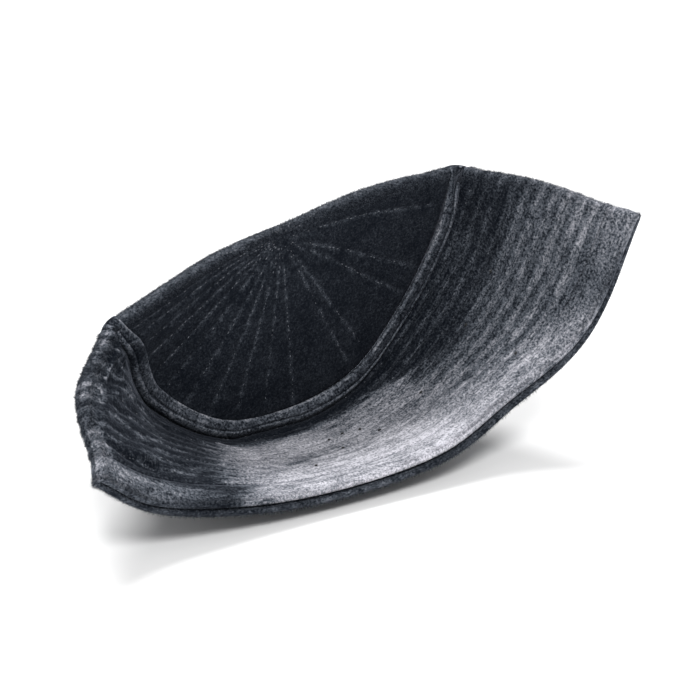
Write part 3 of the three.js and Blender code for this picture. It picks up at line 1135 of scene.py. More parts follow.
@dataclass(frozen=True)
class Velvet:
    """Short-pile cotton velvet: matt and near black, and grey where light is painted on it.

    The pile's ends catch the light at grazing angles, which the sheen gives. A point attribute holds the
    painted light and shade together with the velvet's own uneven tone, and noise at the size of single tufts
    breaks it up. The ends of real pile are about 0.1 mm apart, which is too fine to show. They are drawn as
    coarse as pile_mm, and gathered in tufts of tuft_mm.
    """

    name: str
    pile: str = "#080d15"
    # Colours of the painted light, from the half-lit grey to the palest painted grey; pile is the velvet's
    # own black.
    painted_half_light: str = "#555a62"
    painted_half_light_at: float = 0.15
    painted_light: str = "#d6d5dd"
    sheen: float = 0.22
    sheen_roughness: float = 0.3
    sheen_tint: str = "#b1b9ca"
    tuft_mm: float = 1.0
    pile_mm: float = 0.45
    streak_length_mm: float = 9.0
    streak_width_mm: float = 1.2
    tuft_share: float = 1.0
    pile_share: float = 0.75
    streak_share: float = 0.5
    pale_swing: float = 0.55
    lint: float = 0.004
    fleck_light: float = 0.045
    fleck_from: float = 1.08
    fleck_full: float = 1.35
    swing_fades_at: float = 0.55
    least_swing: float = 0.05
    roughness: float = 1.0
    specular: float = 0.06
    bump: float = 0.5
    bump_mm: float = 0.5

    def build(self) -> bpy.types.Material:
        """Makes the material.

        Returns:
            The finish, which reads the point attribute of painted light and shade and the uv map cloth.
        """
        material = new_material(self.name)
        tree = material.node_tree
        place = add_node(tree, "ShaderNodeTexCoord").outputs["Object"]
        flat = add_node(tree, "ShaderNodeUVMap", {"uv_map": "cloth"}).outputs["UV"]
        # Reads the painted light and shade, with the velvet's own tone.
        painted_light_and_nap = add_node(tree, "ShaderNodeAttribute", {"attribute_name": "painted_light_and_nap"}).outputs["Fac"]
        per_unit = 1 / UV_PER_MM
        stretch = (per_unit / self.streak_length_mm, per_unit / self.streak_width_mm, 1)
        drawn = add_node(tree, "ShaderNodeMapping", {"Scale": stretch}, {"Vector": flat}).outputs[0]
        tufts = {"Scale": 1 / (self.tuft_mm * MM), "Detail": 1.5}
        ends = {"Scale": 1 / (self.pile_mm * MM), "Detail": 1.5}
        streaks = {"Scale": 1.0, "Detail": 2.0}
        noises = []
        for look, at in ((tufts, place), (ends, place), (streaks, drawn)):
            noises.append(add_node(tree, "ShaderNodeTexNoise", look, {"Vector": at}).outputs[0])
        tuft, pile = noises[:2]
        shares = (self.tuft_share, self.pile_share, self.streak_share)
        swing = self.swing(tree, tuple(zip(noises, shares)))
        flecks = self.flecks(tree, tuft, pile)
        painted_light_and_tone = self.painted_light_and_tone(tree, painted_light_and_nap, swing, flecks)
        # Turns the painted light and shade into colour.
        ramp = add_node(tree, "ShaderNodeValToRGB", {}, {0: painted_light_and_tone})
        stops = ramp.color_ramp.elements
        stops[0].color = linear(self.pile)
        stops[1].color = linear(self.painted_light)
        stops.new(self.painted_half_light_at).color = linear(self.painted_half_light)
        colour = ramp.outputs[0]
        height = add_node(
            tree, "ShaderNodeMath", {"operation": "MULTIPLY_ADD", 1: 0.5}, {0: pile, 2: tuft}
        ).outputs[0]
        relief = {"Strength": self.bump, "Distance": self.bump_mm * MM}
        bump = add_node(tree, "ShaderNodeBump", relief, {"Height": height}).outputs[0]
        surface = add_node(
            tree,
            "ShaderNodeBsdfPrincipled",
            {
                "Roughness": self.roughness,
                "Specular IOR Level": self.specular,
                "Sheen Weight": self.sheen,
                "Sheen Roughness": self.sheen_roughness,
                "Sheen Tint": linear(self.sheen_tint),
            },
            {"Base Color": colour, "Normal": bump},
        ).outputs[0]
        add_node(tree, "ShaderNodeOutputMaterial", {}, {"Surface": surface})
        return material

    def swing(
        self, tree: bpy.types.NodeTree, layers: tuple[tuple[bpy.types.NodeSocket, float], ...]
    ) -> bpy.types.NodeSocket:
        """Adds noises into one factor round 1.

        Args:
            tree: The material's nodes.
            layers: Each noise and how strongly it counts.

        Returns:
            The output socket that holds the factor.
        """
        total = None
        for noise, share in layers:
            spread = {"From Min": 0.3, "From Max": 0.7, "To Min": -share, "To Max": share, "clamp": False}
            part = add_node(tree, "ShaderNodeMapRange", spread, {"Value": noise}).outputs[0]
            if total is None:
                total = add_node(tree, "ShaderNodeMath", {"operation": "ADD", 1: 1.0}, {0: part}).outputs[0]
            else:
                total = add_node(tree, "ShaderNodeMath", {"operation": "ADD"}, {0: part, 1: total}).outputs[0]
        held = {"operation": "MAXIMUM", 1: self.least_swing}
        return add_node(tree, "ShaderNodeMath", held, {0: total}).outputs[0]

    def flecks(
        self, tree: bpy.types.NodeTree, tuft: bpy.types.NodeSocket, pile: bpy.types.NodeSocket
    ) -> bpy.types.NodeSocket:
        """Finds the few tufts whose ends stand up into the light.

        Args:
            tree: The material's nodes.
            tuft: Noise of tufts.
            pile: Noise of the pile's ends.

        Returns:
            The output socket that holds the light which they add.
        """
        both = add_node(tree, "ShaderNodeMath", {"operation": "ADD"}, {0: tuft, 1: pile}).outputs[0]
        sparse = {"From Min": self.fleck_from, "From Max": self.fleck_full, "To Max": self.fleck_light}
        return add_node(tree, "ShaderNodeMapRange", sparse, {"Value": both}).outputs[0]

    def painted_light_and_tone(
        self,
        tree: bpy.types.NodeTree,
        painted_light_and_nap: bpy.types.NodeSocket,
        swing: bpy.types.NodeSocket,
        flecks: bpy.types.NodeSocket,
    ) -> bpy.types.NodeSocket:
        """Works out the painted light and shade with the tufts' unevenness, from 0 to 1.

        Pale velvet is broken up less than dark velvet, so the swing fades as the painted light rises.

        Args:
            tree: The material's nodes.
            painted_light_and_nap: The painted light and shade, with the velvet's own tone.
            swing: The factor of the tufts.
            flecks: Light that single tufts add.

        Returns:
            The output socket that holds it.
        """
        fade = {"From Max": self.swing_fades_at, "To Min": 1.0, "To Max": self.pale_swing}
        share = add_node(tree, "ShaderNodeMapRange", fade, {"Value": painted_light_and_nap}).outputs[0]
        away = add_node(tree, "ShaderNodeMath", {"operation": "SUBTRACT", 1: 1.0}, {0: swing}).outputs[0]
        factor = add_node(
            tree, "ShaderNodeMath", {"operation": "MULTIPLY_ADD", 2: 1.0}, {0: away, 1: share}
        ).outputs[0]
        lifted = add_node(tree, "ShaderNodeMath", {"operation": "ADD", 1: self.lint}, {0: painted_light_and_nap}).outputs[0]
        settings = {"operation": "MULTIPLY_ADD", "use_clamp": True}
        return add_node(tree, "ShaderNodeMath", settings, {0: lifted, 1: factor, 2: flecks}).outputs[0]


@dataclass(frozen=True)
class Thread:
    """Spun polyester yarn, which shows as small matt grey dots between the pile.

    Its real twist repeats every 0.5 mm, too fine to show, so it is drawn as coarse as shade_mm.
    """

    name: str = "polyester_thread"
    colour: str = "#7c818b"
    shade: str = "#16181c"
    shade_mm: float = 10 / 3
    roughness: float = 0.6
    sheen: float = 0.3

    def build(self) -> bpy.types.Material:
        """Makes the material.

        Returns:
            The finish.
        """
        material = new_material(self.name)
        tree = material.node_tree
        place = add_node(tree, "ShaderNodeTexCoord").outputs["Object"]
        spots = {"Scale": 1 / (self.shade_mm * MM)}
        twist = add_node(tree, "ShaderNodeTexNoise", spots, {"Vector": place}).outputs[0]
        colours = {"data_type": "RGBA", 6: linear(self.shade), 7: linear(self.colour)}
        shade = add_node(tree, "ShaderNodeMix", colours, {0: twist}).outputs[2]
        look = {"Roughness": self.roughness, "Sheen Weight": self.sheen}
        surface = add_node(tree, "ShaderNodeBsdfPrincipled", look, {"Base Color": shade}).outputs[0]
        add_node(tree, "ShaderNodeOutputMaterial", {}, {"Surface": surface})
        return material


def dress(
    piece: bpy.types.Object, node: str | None, material: bpy.types.Material
) -> bpy.types.Object:
    """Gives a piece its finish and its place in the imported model.

    Args:
        piece: The piece.
        node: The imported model's node that it stands for, if there is one.
        material: Its finish.

    Returns:
        The piece.
    """
    piece.data.materials.append(material)
    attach(piece, "root")
    if node:
        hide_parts(node)
    faces = sum(len(polygon.vertices) - 2 for polygon in piece.data.polygons)
    LOG.info("%s: %d triangles", piece.name, faces)
    return piece


@dataclass
class Crown:
    """The round crown, with the stitched lines that run out from its middle."""

    shape: FoldedShape
    painted_light_and_nap: PaintedLightAndNap
    velvet_rings: int = 76
    lining_rings: int = 10
    crowding: float = 0.9

    def build(self, turns: np.ndarray) -> bpy.types.Object:
        """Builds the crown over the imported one.

        Args:
            turns: Places round the cap.

        Returns:
            The piece.
        """
        shape = self.shape
        edge = 1 - shape.piece_gap / 2 / shape.crown_radius
        outline = 2 * math.pi * shape.crown_radius
        skin = Skin(turns)
        for layer, count in ((Layer.VELVET, self.velvet_rings), (Layer.LINING, self.lining_rings)):
            rings = np.linspace(0, 1, count + 1)[1:] ** self.crowding * edge
            for ring in rings if layer is Layer.VELVET else rings[::-1]:
                rings_here = np.full_like(turns, ring)
                height = np.full_like(turns, shape.face_height(layer))
                if layer is Layer.VELVET:
                    height = height + self.painted_light_and_nap.quilting.crown_relief(rings_here, turns)
                points = shape.crown_points(rings_here, turns, height)
                skin.add(points, ring * shape.crown_radius, outline, self.painted_light_and_nap.on_crown(rings_here, turns))
        velvet = Velvet("crown_cotton_velvet", streak_share=0.0, tuft_share=0.7, fleck_light=0.02).build()
        return dress(skin.build("crown_cloth", True), "crown", velvet)


@dataclass
class ClothRing:
    """A ring of cloth below the crown: the quilted band, or the smooth hem."""

    shape: FoldedShape
    painted_light_and_nap: PaintedLightAndNap

    def relief(self, down: np.ndarray, turn: np.ndarray) -> np.ndarray:
        """Height of the velvet over plain cloth, at places down and round the cap."""
        return self.painted_light_and_nap.quilting.band_relief(down, turn)

    def skin(self, turns: np.ndarray, velvet: np.ndarray, lining: np.ndarray) -> Skin:
        """Lays out the rings of both sides.

        Args:
            turns: Places round the cap.
            velvet: Levels of the velvet side, from the top down.
            lining: Levels of the lining side, from the top down.

        Returns:
            The skin.
        """
        shape = self.shape
        skin = Skin(turns)
        for layer, levels in ((Layer.VELVET, velvet), (Layer.LINING, lining[::-1])):
            for level in levels:
                down = np.full_like(turns, level)
                height = np.full_like(turns, shape.face_height(layer))
                if layer is Layer.VELVET:
                    height = height + self.relief(down, turns)
                points = shape.band_points(down, turns, height)
                painted_light_and_nap = self.painted_light_and_nap.on_band(down, turns)
                skin.add(points, level * shape.band_height, 2 * shape.row_length(level), painted_light_and_nap)
        return skin


@dataclass
class Band(ClothRing):
    """The band, quilted in parallel rows."""

    samples_per_row: int = 8
    plain_rings: int = 4
    lining_rings: int = 13

    def build(self, turns: np.ndarray) -> bpy.types.Object:
        """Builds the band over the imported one.

        Args:
            turns: Places round the cap.

        Returns:
            The piece.
        """
        shape = self.shape
        first = shape.rows_top / shape.band_height
        rows = np.linspace(first, shape.band_end, self.samples_per_row * shape.row_count + 1)
        velvet = np.concatenate([np.linspace(shape.band_top, first, self.plain_rings)[:-1], rows])
        lining = np.linspace(shape.band_top, shape.band_end, self.lining_rings)
        band = self.skin(turns, velvet, lining).build("band_cloth", False)
        return dress(band, "band", Velvet("band_cotton_velvet").build())


@dataclass
class Hem(ClothRing):
    """The velvet turned up at the head opening."""

    swell: float = 0.45
    edge_drop: float = 0.35
    edge_from: float = 0.9
    velvet_rings: int = 19
    lining_rings: int = 5
    crowding: float = 0.85
    grains: tuple[Grain, ...] = (Grain(8, 6, 5, 0.2), Grain(2, 2, 6, 0.12))

    def relief(self, down: np.ndarray, turn: np.ndarray) -> np.ndarray:
        """Works out the height of the hem's velvet over plain cloth.

        Args:
            down: Place on the band.
            turn: Angle round the cap.

        Returns:
            One height for each place.
        """
        shape = self.shape
        share = (down - shape.hem_top) / (1 - shape.hem_top)
        around = turn * shape.rim_length / math.pi
        below = down * shape.band_height
        uneven = sum(grain.at(around, below) for grain in self.grains)
        puffed = (self.swell + uneven) * np.sin(math.pi * smooth(share))
        return puffed - self.edge_drop * smooth((share - self.edge_from) / (1 - self.edge_from))

    def build(self, turns: np.ndarray) -> bpy.types.Object:
        """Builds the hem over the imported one.

        Args:
            turns: Places round the cap.

        Returns:
            The piece.
        """
        shape = self.shape
        shares = np.linspace(0, 1, self.velvet_rings) ** self.crowding
        velvet = shape.hem_top + (1 - shape.hem_top) * shares
        lining = np.linspace(shape.hem_top, 1, self.lining_rings)
        hem = self.skin(turns, velvet, lining).build("hem_cloth", False)
        return dress(hem, "hem", Velvet("hem_cotton_velvet").build())


@dataclass(frozen=True)
class WeltLine:
    """One line along the lip: its place across in mm, its height as a share, and its painted light and shade.
    """

    across: float
    height: float
    light: float


@dataclass
class SeamWelt:
    """The lip over the crown's seam: a broad bead, a crack, and a narrow bead beside the band.

    On the pushed-in half it bridges the inner corner of the seam, and it is widest and tallest in the lowest
    part of the bowl. There its broad bead gets painted light and its narrow bead painted shade, and the lip
    gets painted shade where it tucks in near the left fold and on the outer half.
    """

    shape: FoldedShape
    start: float = -0.7
    height: float = 2.6
    height_at_fold: float = 0.12
    lift: float = 0.35
    lift_at_fold: float = 0.1
    fade: float = 26.0
    spread: float = 0.6
    outer_spread: float = 0.3
    bead_end: float = 3.4
    bead_middle: float = 2.3
    bead_reach: float = 1.6
    crack: float = 3.6
    crack_floor: float = 3.65
    crack_floor_reach: float = 0.4
    crack_reach: float = 0.5
    narrow_middle: float = 4.4
    narrow_reach: float = 0.6
    low_from: float = 0.3
    low_start: float = 0.16
    low_to: float = 0.88
    low_end: float = 0.1
    low_spread: float = 0.55
    low_rise: float = 0.3
    low_crack_rise: float = 0.15
    # Painted light on the broad bead and painted shade on the narrow bead, in the lowest part of the bowl.
    low_light: float = 1.0
    low_shade: float = 0.55
    low_crack_light: float = 0.036
    # Painted shade where the lip tucks in near the left fold.
    tucked_in: float = 0.865
    tucked_reach: float = 0.03
    tucked_shade: float = 0.9
    # Painted shade on the outer half's lip.
    outer_light: float = 0.8
    tuft: Grain = Grain(1.6, 1.2, 7)
    patch: Grain = Grain(6, 3, 8)
    tuft_rise: float = 0.12
    tuft_light: float = 0.6
    patch_light: float = 0.5
    # The last number of each line is painted light: a painted highlight along the crest, painted shade in the
    # crack.
    section: tuple[WeltLine, ...] = (
        WeltLine(0.0, 0.0, 0.03),
        WeltLine(-0.1, 0.5, 0.08),
        WeltLine(0.0, 0.86, 0.15),
        WeltLine(0.25, 1.0, 0.15),
        WeltLine(0.7, 1.02, 0.09),
        WeltLine(1.3, 0.98, 0.045),
        WeltLine(2.0, 0.96, 0.036),
        WeltLine(2.7, 0.96, 0.036),
        WeltLine(3.1, 0.93, 0.03),
        WeltLine(3.35, 0.8, 0.02),
        WeltLine(3.55, 0.62, 0.007),
        WeltLine(3.75, 0.6, 0.007),
        WeltLine(3.95, 0.72, 0.1),
        WeltLine(4.3, 0.74, 0.14),
        WeltLine(4.8, 0.6, 0.11),
        WeltLine(5.3, 0.3, 0.04),
        WeltLine(5.85, -0.05, 0.015),
    )

    def face(self, across: np.ndarray, turns: np.ndarray, height: np.ndarray) -> np.ndarray:
        """Points over the seam, at distances across the lip and at a height."""
        return self.shape.band_points((self.start + across) / self.shape.band_height, turns, height)

    def build(self, turns: np.ndarray) -> bpy.types.Object:
        """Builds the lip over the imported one.

        Args:
            turns: Places round the cap.

        Returns:
            The piece.
        """
        shape = self.shape
        inside = turns < math.pi
        full = smooth(np.arcsin(np.abs(np.sin(turns))) / math.pi * shape.seam_length / self.fade)
        tall = self.height_at_fold + (self.height - self.height_at_fold) * full
        along = turns / math.pi
        low = smooth((along - self.low_from) / self.low_start) * smooth((self.low_to - along) / self.low_end)
        wide = 1 + np.where(inside, self.spread, self.outer_spread) * full + self.low_spread * low
        around = turns * shape.seam_length / math.pi
        lift = self.lift_at_fold + (self.lift - self.lift_at_fold) * full
        floor = shape.face_height(Layer.VELVET) + lift
        width = self.section[-1].across * wide
        top = self.face(0 * width, turns, floor)
        chord = self.face(width, turns, floor) - top
        out = self.face(width / 2, turns, floor + 1) - self.face(width / 2, turns, floor)
        out = unit(out - chord * (np.sum(out * chord, -1) / np.sum(chord * chord, -1))[:, None])
        bridging = np.where(inside, full, 0)[:, None]
        # Painted shade where the lip tucks in, and on the outer half.
        shown = 1 - self.tucked_shade * bell(along - self.tucked_in, self.tucked_reach)
        shown = shown * np.where(inside, 1.0, self.outer_light)
        skin = Skin(turns)
        for line in self.section:
            across = line.across
            tuft, patch = (grain.at(around, np.full_like(turns, across)) for grain in (self.tuft, self.patch))
            bead_rise = self.low_rise * min(across, self.bead_end) / self.bead_end
            crack_rise = self.low_crack_rise * bell(across - self.crack_floor, self.crack_floor_reach)
            rise = 1 + low * (bead_rise + crack_rise)
            height = line.height * (1 + self.tuft_rise * tuft * line.height) * tall * rise
            bridge = top + chord * (across / self.section[-1].across) + out * height[:, None]
            points = self.face(across * wide, turns, floor + height) * (1 - bridging) + bridge * bridging
            points[:, 2] = np.maximum(points[:, 2], 0)
            # Painted light on the broad bead and painted shade on the narrow bead, low in the bowl.
            pale = self.low_light * bell(across - self.bead_middle, self.bead_reach)
            dark = self.low_shade * bell(across - self.narrow_middle, self.narrow_reach)
            light = line.light * (1 + low * (pale - dark))
            light = light + self.low_crack_light * low * bell(across - self.crack, self.crack_reach)
            painted_light_and_nap = light * np.exp(self.tuft_light * tuft + self.patch_light * patch)
            skin.add(points, across, 2 * shape.seam_length, painted_light_and_nap * shown)
        welt = skin.build("welt_cloth", False)
        return dress(welt, "seam_welt", Velvet("welt_cotton_velvet").build())


@dataclass
class Stitching:
    """Single stitches along the crown's rays and the band's rows, and lint on the band."""

    shape: FoldedShape
    quilting: Quilting
    pitch: float = 2.0
    size: tuple[float, float, float] = (1.0, 0.36, 0.36)
    size_spread: tuple[float, float] = (0.45, 1.2)
    stray: float = 0.35
    rays_skipped: float = 0.45
    rows_skipped: float = 0.75
    lint_size: tuple[float, float, float] = (1.5, 1.4, 0.9)
    lint_lift: float = 0.4
    lint: tuple[tuple[float, float], ...] = (
        (0.49, 0.42), (0.515, 0.43), (0.47, 0.46), (0.46, 0.55), (0.53, 0.58),
        (0.595, 0.71), (0.36, 0.51), (0.23, 0.44), (0.145, 0.4), (0.245, 0.8),
    )

    def one_stitch(self) -> tuple[np.ndarray, list[list[int]]]:
        """Models one stitch, 1 long and 1 wide, lying along X.

        Returns:
            Its points, and its faces as lists of point numbers.
        """
        bpy.ops.object.select_all(action="DESELECT")
        bpy.ops.mesh.primitive_uv_sphere_add(
            segments=6, ring_count=4, radius=0.5, rotation=(0, math.pi / 2, 0)
        )
        made = bpy.context.active_object
        bpy.ops.object.transform_apply(location=False, rotation=True, scale=False)
        points = np.array([vertex.co[:] for vertex in made.data.vertices])
        faces = [list(polygon.vertices) for polygon in made.data.polygons]
        bpy.data.objects.remove(made)
        return points, faces

    def scatter(
        self, name: str, places: np.ndarray, ahead: np.ndarray, up: np.ndarray, sizes: np.ndarray
    ) -> bpy.types.Object:
        """Puts one small round body at each place.

        Args:
            name: Name of the piece.
            places: Middle of each one, in millimetres.
            ahead: Way in which each one runs.
            up: Way out of the cloth at each one.
            sizes: Length, width and height of each one.

        Returns:
            The piece.
        """
        points, faces = self.one_stitch()
        frames = np.stack([ahead, unit(np.cross(up, ahead)), up], 1) * sizes[:, :, None]
        laid = places[:, None, :] + points[None] @ frames
        laid[..., 2] = np.maximum(laid[..., 2], 0)
        loops = np.concatenate([np.array(face) for face in faces])
        corners = np.tile([len(face) for face in faces], len(places))
        shift = np.arange(len(places))[:, None] * len(points)
        return mesh_object(name, laid.reshape(-1, 3) * MM, (loops[None] + shift).reshape(-1), corners)

    def lay(
        self, name: str, skipped: float, places: np.ndarray, ahead: np.ndarray, up: np.ndarray
    ) -> bpy.types.Object:
        """Lays a stitch at each place, but for those that the pile hides.

        Args:
            name: Name of the piece.
            skipped: Share of the stitches that the pile hides.
            places: Middle of each stitch, in millimetres.
            ahead: Way in which each one runs.
            up: Way out of the cloth at each one.

        Returns:
            The piece.
        """
        draw = np.random.default_rng(SEED)
        shown = draw.uniform(0, 1, len(places)) > skipped
        sizes = draw.uniform(*self.size_spread, (int(shown.sum()), 1)) * self.size
        return self.scatter(name, places[shown], ahead[shown], up[shown], sizes)

    def specks(self, material: bpy.types.Material) -> bpy.types.Object:
        """Drops the few dark specks of lint on the part of the band that is painted light.

        Args:
            material: Their finish.

        Returns:
            The piece.
        """
        shape = self.shape
        down = np.array([spot[1] for spot in self.lint])
        turn = np.array([spot[0] for spot in self.lint]) * math.pi
        height = shape.face_height(Layer.VELVET) + self.quilting.band_relief(down, turn) + self.lint_lift
        places = shape.band_points(down, turn, height)
        ahead = unit(shape.band_points(down, turn + SMALL_TURN, height) - places)
        up = unit(np.cross(ahead, shape.band_points(down + SMALL_TURN, turn, height) - places))
        piece = self.scatter("lint_specks", places, ahead, up, np.tile(self.lint_size, (len(places), 1)))
        return dress(piece, None, material)

    def on_crown(self, flat: np.ndarray) -> np.ndarray:
        """Puts places of the flat crown on its velvet.

        Args:
            flat: Distances along and away from the fold.

        Returns:
            One point for each place.
        """
        shape = self.shape
        ring = np.linalg.norm(flat, axis=-1) / shape.crown_radius
        turn = np.arctan2(flat[:, 1], flat[:, 0]) % (2 * math.pi)
        height = shape.face_height(Layer.VELVET) + self.quilting.crown_relief(ring, turn)
        return shape.crown_points(ring, turn, height)

    def on_band(self, down: np.ndarray, turn: np.ndarray) -> np.ndarray:
        """Points of the band's velvet, at places down and round the cap."""
        height = self.shape.face_height(Layer.VELVET) + self.quilting.band_relief(down, turn)
        return self.shape.band_points(down, turn, height)

    def along_rays(self, material: bpy.types.Material) -> bpy.types.Object:
        """Stitches the crown's rays.

        Args:
            material: The thread's finish.

        Returns:
            The piece.
        """
        flats = []
        for start, end in self.quilting.ray_ends():
            length = np.linalg.norm(end - start)
            shares = np.arange(2 * self.pitch, length, self.pitch) / length
            flats.append(start + shares[:, None] * (end - start))
        flat = np.concatenate(flats)
        flat = flat + np.random.default_rng(SEED).uniform(-self.stray, self.stray, flat.shape)
        way = unit(flat - np.array(self.quilting.ray_centre))
        places = self.on_crown(flat)
        ahead = unit(self.on_crown(flat + way * 0.5) - places)
        turned = np.stack([-way[:, 1], way[:, 0]], -1)
        up = unit(np.cross(ahead, unit(self.on_crown(flat + turned * 0.5) - places)))
        piece = self.lay("crown_stitches", self.rays_skipped, places, ahead, up)
        return dress(piece, None, material)

    def along_rows(self, material: bpy.types.Material) -> bpy.types.Object:
        """Stitches the band's rows.

        Args:
            material: The thread's finish.

        Returns:
            The piece.
        """
        shape = self.shape
        downs = []
        turns = []
        for row in range(1, shape.row_count):
            level = (shape.rows_top + row * self.quilting.pitch) / shape.band_height
            count = int(2 * shape.row_length(level) / self.pitch)
            turn = (np.arange(count) + 0.5 * (row % 2)) / count * 2 * math.pi
            downs.append(np.full_like(turn, level))
            turns.append(turn)
        down = np.concatenate(downs)
        turn = np.concatenate(turns)
        places = self.on_band(down, turn)
        ahead = unit(self.on_band(down, turn + SMALL_TURN) - places)
        up = unit(np.cross(ahead, unit(self.on_band(down + SMALL_TURN, turn) - places)))
        piece = self.lay("row_stitches", self.rows_skipped, places, ahead, up)
        return dress(piece, None, material)


@dataclass(frozen=True)
class Tufts:
    """Ends of pile as thin closed spikes: their points, the corners of their faces, their painted light and
    tone.
    """

    points: np.ndarray
    corners: np.ndarray
    painted_light_and_naps: np.ndarray


@dataclass(frozen=True)
class PileEnds:
    """Single ends of pile that stand up along the folds and the rim, and blur their edges.

    Real ones are about 0.05 mm thick, too fine to show, so they are drawn as thick as thickness.
    """

    shape: FoldedShape
    painted_light_and_nap: PaintedLightAndNap
    length: float = 1.1
    thickness: float = 0.13
    lean: float = 0.7
    lengths: tuple[float, float] = (0.4, 1.1)
    crown_root: float = 0.1
    band_root: float = 0.15
    fold_spread: float = 3.6
    fold_length: float = 285.0
    rim_spread: float = 0.02
    crown_share: float = 0.985
    crown_edge: float = 0.99
    band_from: float = 0.07
    along_crown_fold: int = 13000
    along_band_folds: int = 15000
    along_rim: int = 12000

    def tufts(self, seed: int, roots: np.ndarray, tips: np.ndarray, painted_light_and_naps: np.ndarray) -> Tufts:
        """Makes a spike for each end of pile.

        Args:
            seed: Picks the random lean.
            roots: Where each one leaves the cloth.
            tips: Where each one would end if it stood upright.
            painted_light_and_naps: How light each one is, painted light included.

        Returns:
            The spikes.
        """
        draw = np.random.default_rng(SEED + seed)
        count = len(roots)
        up = unit(tips - roots)
        side = unit(np.cross(up, draw.normal(size=(count, 3))))
        other = np.cross(up, side)
        ends = tips + draw.normal(size=(count, 3)) * self.lean / 2
        corners = [roots + (ends - roots) * draw.uniform(*self.lengths, (count, 1))]
        for degrees in (0, 120, 240):
            around = math.radians(degrees)
            foot = side * math.cos(around) + other * math.sin(around)
            corners.append(roots + foot * self.thickness / 2)
        points = np.stack(corners, 1).reshape(-1, 3)
        pattern = np.array([[0, 1, 2], [0, 2, 3], [0, 3, 1], [1, 3, 2]])
        faces = (pattern[None] + len(corners) * np.arange(count)[:, None, None]).reshape(-1)
        return Tufts(points, faces, np.repeat(painted_light_and_naps, len(corners)))

    def on_crown_fold(self, draw: np.random.Generator, seed: int) -> Tufts:
        """Sets pile ends along the fold of the crown.

        Args:
            draw: Picks their places.
            seed: Picks their lean.

        Returns:
            The spikes.
        """
        shape = self.shape
        count = self.along_crown_fold
        across = draw.uniform(-1, 1, count) * shape.crown_radius * self.crown_share
        deep = draw.normal(0, self.fold_spread, count)
        ring = np.minimum(np.hypot(across, deep) / shape.crown_radius, self.crown_edge)
        turn = np.arctan2(deep, across) % (2 * math.pi)
        height = shape.face_height(Layer.VELVET) + self.painted_light_and_nap.quilting.crown_relief(ring, turn)
        roots = shape.crown_points(ring, turn, height - self.crown_root)
        tips = shape.crown_points(ring, turn, height + self.length)
        return self.tufts(seed, roots, tips, self.painted_light_and_nap.on_crown(ring, turn))

    def on_band(self, down: np.ndarray, turn: np.ndarray, seed: int) -> Tufts:
        """Sets pile ends on the band or the hem.

        Args:
            down: Place on the band.
            turn: Angle round the cap.
            seed: Picks their lean.

        Returns:
            The spikes.
        """
        shape = self.shape
        height = shape.face_height(Layer.VELVET) + self.painted_light_and_nap.quilting.band_relief(down, turn)
        roots = shape.band_points(down, turn, height - self.band_root)
        tips = shape.band_points(down, turn, height + self.length)
        return self.tufts(seed, roots, tips, self.painted_light_and_nap.on_band(down, turn))

    def build(self) -> bpy.types.Object:
        """Builds them all as one piece.

        Returns:
            The piece.
        """
        draw = np.random.default_rng(SEED)
        parts = [self.on_crown_fold(draw, 5)]
        count = self.along_band_folds
        down = draw.uniform(self.band_from, 1, count)
        turn = draw.integers(0, 2, count) * math.pi
        turn = turn + draw.normal(0, self.fold_spread, count) / self.fold_length * math.pi
        parts.append(self.on_band(down, turn % (2 * math.pi), 5))
        count = self.along_rim
        down = 1 - np.abs(draw.normal(0, self.rim_spread, count))
        parts.append(self.on_band(down, draw.uniform(0, 2 * math.pi, count), 3))
        points = np.concatenate([part.points for part in parts])
        points[:, 2] = np.maximum(points[:, 2], 0)
        first = np.cumsum([0, *(len(part.points) for part in parts)])
        corners = np.concatenate([part.corners + shift for part, shift in zip(parts, first)])
        painted_light_and_naps = np.concatenate([part.painted_light_and_naps for part in parts])
        sizes = np.full(len(corners) // 3, 3)
        piece = mesh_object("pile_ends", points * MM, corners, sizes, None, painted_light_and_naps)
        # The standing pile is lifted paler: a painted sheen along the folds and the rim.
        velvet = Velvet("standing_cotton_pile", streak_share=0.0, lint=0.05).build()
        return dress(piece, None, velvet)


@dataclass(frozen=True)
class Lamp:
    """A large soft lamp far off: its strength, its width in degrees and the way to it."""

    name: str
    strength: float
    softness: float
    comes_from: tuple[float, float, float]


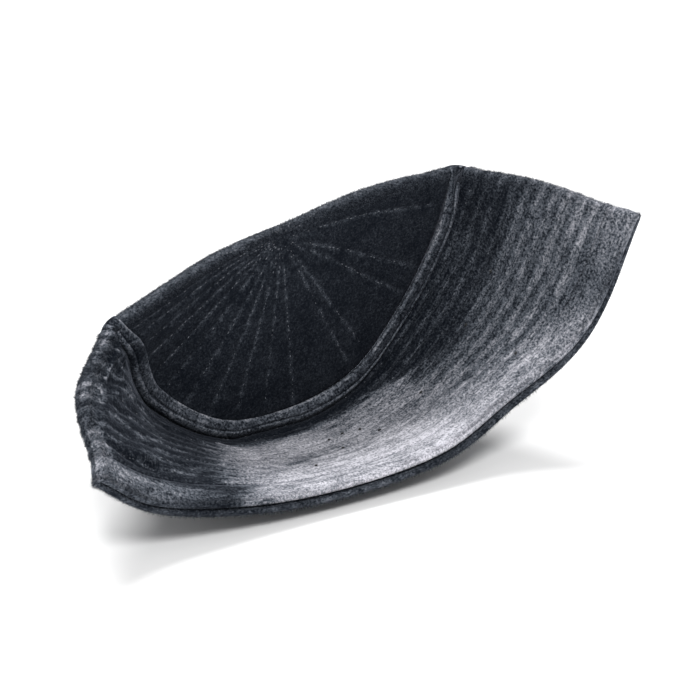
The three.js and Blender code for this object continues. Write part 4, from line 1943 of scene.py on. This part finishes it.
@dataclass
class Studio:
    """The pale floor, the soft light and the camera."""

    lens: float = 93.0
    sensor: float = 36.0
    nearest: float = 0.01
    camera_at: tuple[float, float, float] = (-425.2, -542.2, 269.9)
    camera_way: tuple[float, float, float] = (0.6001, 0.7413, -0.3007)
    floor_size: float = 12.0
    floor_colour: str = "#fafafa"
    floor_roughness: float = 0.9
    floor_specular: float = 0.1
    room_light: float = 0.45
    lamps: tuple[Lamp, ...] = (
        Lamp("front_lamp", 2.0, 20.0, (-0.33, -0.58, 0.743)),
        Lamp("back_lamp", 2.3, 26.0, (0.14, 0.453, 0.88)),
    )

    def camera(self) -> None:
        """Sets the camera at the photograph's angle."""
        data = bpy.data.cameras.new("camera")
        data.lens = self.lens
        data.sensor_width = self.sensor
        data.clip_start = self.nearest
        camera = bpy.data.objects.new("camera", data)
        camera.location = Vector(self.camera_at) * MM
        camera.rotation_euler = Vector(self.camera_way).to_track_quat("-Z", "Y").to_euler()
        bpy.context.scene.collection.objects.link(camera)
        bpy.context.scene.camera = camera

    def floor(self) -> None:
        """Lays the pale floor: matt white background paper, smooth and without a shine."""
        bpy.ops.object.select_all(action="DESELECT")
        bpy.ops.mesh.primitive_plane_add(size=self.floor_size, location=(0, 0, 0))
        floor = bpy.context.active_object
        floor.name = "floor"
        material = bpy.data.materials.new("matt_white_paper")
        material.use_nodes = True
        shader = material.node_tree.nodes["Principled BSDF"]
        shader.inputs["Base Color"].default_value = linear(self.floor_colour)
        shader.inputs["Roughness"].default_value = self.floor_roughness
        shader.inputs["Specular IOR Level"].default_value = self.floor_specular
        floor.data.materials.append(material)

    def light(self) -> None:
        """Hangs a soft lamp over the camera and one high behind the cap, in a white room."""
        world = bpy.data.worlds.new("white_room")
        world.use_nodes = True
        background = world.node_tree.nodes["Background"]
        background.inputs["Color"].default_value = (1, 1, 1, 1)
        background.inputs["Strength"].default_value = self.room_light
        bpy.context.scene.world = world
        bpy.context.scene.view_settings.view_transform = "Standard"
        for lamp in self.lamps:
            data = bpy.data.lights.new(lamp.name, "SUN")
            data.energy = lamp.strength
            data.angle = math.radians(lamp.softness)
            hung = bpy.data.objects.new(lamp.name, data)
            hung.rotation_euler = (-Vector(lamp.comes_from)).to_track_quat("-Z", "Y").to_euler()
            bpy.context.scene.collection.objects.link(hung)


def main() -> None:
    """Builds the cap and its studio in order."""
    logging.basicConfig(level=logging.INFO, format="%(name)s: %(message)s")
    shape = FoldedShape()
    quilting = Quilting(shape)
    painted_light_and_nap = PaintedLightAndNap(quilting)
    turns = turns_round(shape, finest=0.45, pushed_in_step=1.1, outer_step=1.6)
    studio = Studio()
    studio.camera()
    crown = Crown(shape, painted_light_and_nap).build(turns)
    welt = SeamWelt(shape).build(turns)
    band = Band(shape, painted_light_and_nap).build(turns)
    hem = Hem(shape, painted_light_and_nap).build(turns)
    thread = Thread().build()
    stitching = Stitching(shape, quilting)
    rays = stitching.along_rays(thread)
    rows = stitching.along_rows(thread)
    specks = stitching.specks(Thread("dark_lint", "#101317", "#06080b").build())
    pile = PileEnds(shape, painted_light_and_nap).build()
    studio.floor()
    studio.light()


if __name__ == "__main__":
    main()
